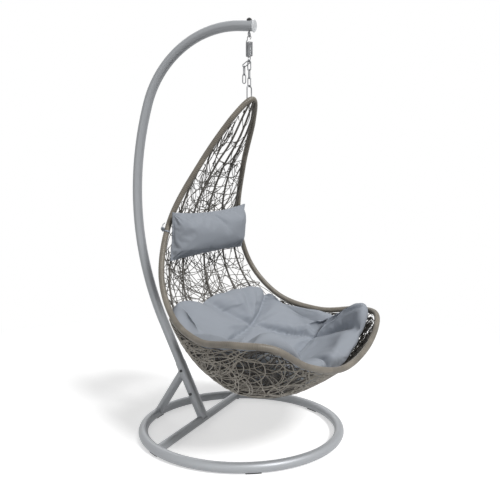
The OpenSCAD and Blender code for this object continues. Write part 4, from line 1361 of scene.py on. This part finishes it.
@dataclass
class Studio:
    """Pale floor, white surround, soft lamps and the camera."""

    eye: Triple = (-2.558, -1.10281, 1.0845)
    look: Span = (0.9188, 0.3947)
    pitch: float = math.radians(3.93)
    lens: float = 41.74
    target: Triple = (0, 0, 0.9)
    soft: float = 0.20
    plain: float = 1.0
    floor_half: float = 30.0
    floor_grey: float = 0.80
    glow: float = 0.50
    near: float = 1.3
    far: float = 3.2

    def camera(self) -> None:
        """Sets the camera."""
        data = bpy.data.cameras.new("camera")
        data.lens, data.sensor_width = self.lens, 36.0
        obj = add_object("camera", data)
        level = math.cos(self.pitch)
        forward = Vector((self.look[0] * level, self.look[1] * level, -math.sin(self.pitch)))
        obj.rotation_euler = forward.to_track_quat("-Z", "Y").to_euler()
        hook = joint_at("swing_fore_aft")
        obj.location = (hook[0] + self.eye[0], hook[1] + self.eye[1], self.eye[2])
        bpy.context.scene.camera = obj

    def lamp(self, name: str, place: Triple, spread: float, power: float) -> None:
        """A soft sun that shines from a place towards the chair's middle.

        Args:
            name: the lamp's name.
            place: where it shines from.
            spread: its angular width in degrees.
            power: its strength in watts per square metre.
        """
        data = bpy.data.lights.new(name, "SUN")
        data.angle, data.energy = math.radians(spread), power
        obj = add_object(name, data)
        obj.location = place
        obj.rotation_euler = (Vector(self.target) - Vector(place)).to_track_quat("-Z", "Y").to_euler()

    @staticmethod
    def seen(tree: bpy.types.NodeTree) -> Socket:
        """Adds a value that is 1 for camera, glossy and transmission rays and 0 for the rest.

        Args:
            tree: the tree to add it to.

        Returns:
            The value's socket.
        """
        path = tree.nodes.new("ShaderNodeLightPath")
        most = maths(tree, "MAXIMUM", path.outputs["Is Camera Ray"], path.outputs["Is Glossy Ray"])
        return maths(tree, "MAXIMUM", most, path.outputs["Is Transmission Ray"])

    @staticmethod
    def finish_tree(tree: bpy.types.NodeTree, kind: str, *sources: Socket) -> None:
        """Mixes two shaders into a new output.

        Args:
            tree: the tree.
            kind: the output node's type.
            sources: the second shader's share, the first shader and the second.
        """
        mix, out = tree.nodes.new("ShaderNodeMixShader"), tree.nodes.new(kind)
        for source, socket in zip(sources, mix.inputs):
            tree.links.new(source, socket)
        tree.links.new(mix.outputs[0], out.inputs[0])

    def surround(self) -> None:
        """White world: white to the camera and in reflections, plain light otherwise."""
        world = bpy.data.worlds.new("studio")
        bpy.context.scene.world = world
        world.use_nodes = True
        tree = world.node_tree
        tree.nodes.clear()
        lights = [tree.nodes.new("ShaderNodeBackground") for _ in range(2)]
        for light, strength in zip(lights, (self.soft, self.plain)):
            light.inputs["Color"].default_value = (1, 1, 1, 1)
            light.inputs["Strength"].default_value = strength
        self.finish_tree(tree, "ShaderNodeOutputWorld", self.seen(tree), *(light.outputs[0] for light in lights))

    def floor(self) -> None:
        """White floor that keeps the chair's shadow and fades into the white world."""
        mesh, half = bpy.data.meshes.new("floor"), self.floor_half
        mesh.from_pydata([(-half, -half, 0), (half, -half, 0), (half, half, 0), (-half, half, 0)], [], [(0, 1, 2, 3)])
        mat = bpy.data.materials.new("floor")
        mat.use_nodes = True
        tree = mat.node_tree
        tree.nodes.clear()
        link = tree.links.new
        matt, lift, white, near, place, length, fade = (tree.nodes.new("ShaderNode" + kind) for kind in (
            "BsdfDiffuse", "Emission", "Emission", "AddShader", "TexCoord", "VectorMath", "MapRange"))
        matt.inputs["Color"].default_value = (self.floor_grey, self.floor_grey, self.floor_grey, 1)
        seen = self.seen(tree)
        link(maths(tree, "MULTIPLY", seen, self.glow), lift.inputs["Strength"])
        link(seen, white.inputs["Strength"])
        link(matt.outputs[0], near.inputs[0])
        link(lift.outputs[0], near.inputs[1])
        length.operation = "LENGTH"
        link(place.outputs["Object"], length.inputs[0])
        link(length.outputs["Value"], fade.inputs["Value"])
        fade.inputs["From Min"].default_value = self.near
        fade.inputs["From Max"].default_value = self.far
        self.finish_tree(tree, "ShaderNodeOutputMaterial", fade.outputs[0], near.outputs[0], white.outputs[0])
        mesh.materials.append(mat)
        add_object("floor", mesh)

    def build(self) -> None:
        """Sets up the whole studio."""
        self.camera()
        self.surround()
        self.floor()
        self.lamp("key", (-1.1, -2.6, 3.8), spread=14.0, power=2.3)
        self.lamp("fill", (-3.6, 0.6, 2.2), spread=50.0, power=0.40)
        self.lamp("rim", (2.2, 1.6, 3.0), spread=40.0, power=0.4)
        bpy.context.scene.view_settings.view_transform = "Standard"


def main() -> None:
    """Builds every part of the chair, then the studio."""
    logging.basicConfig(level=logging.INFO, format="%(message)s")
    Stand().build()
    Hanger().build()
    shell = Shell()
    for made in (RimAndRibs, Weave, SeatCushion, HeadPillow, Ties):
        made(shell).build()
    Studio().build()


if __name__ == "__main__":
    main()
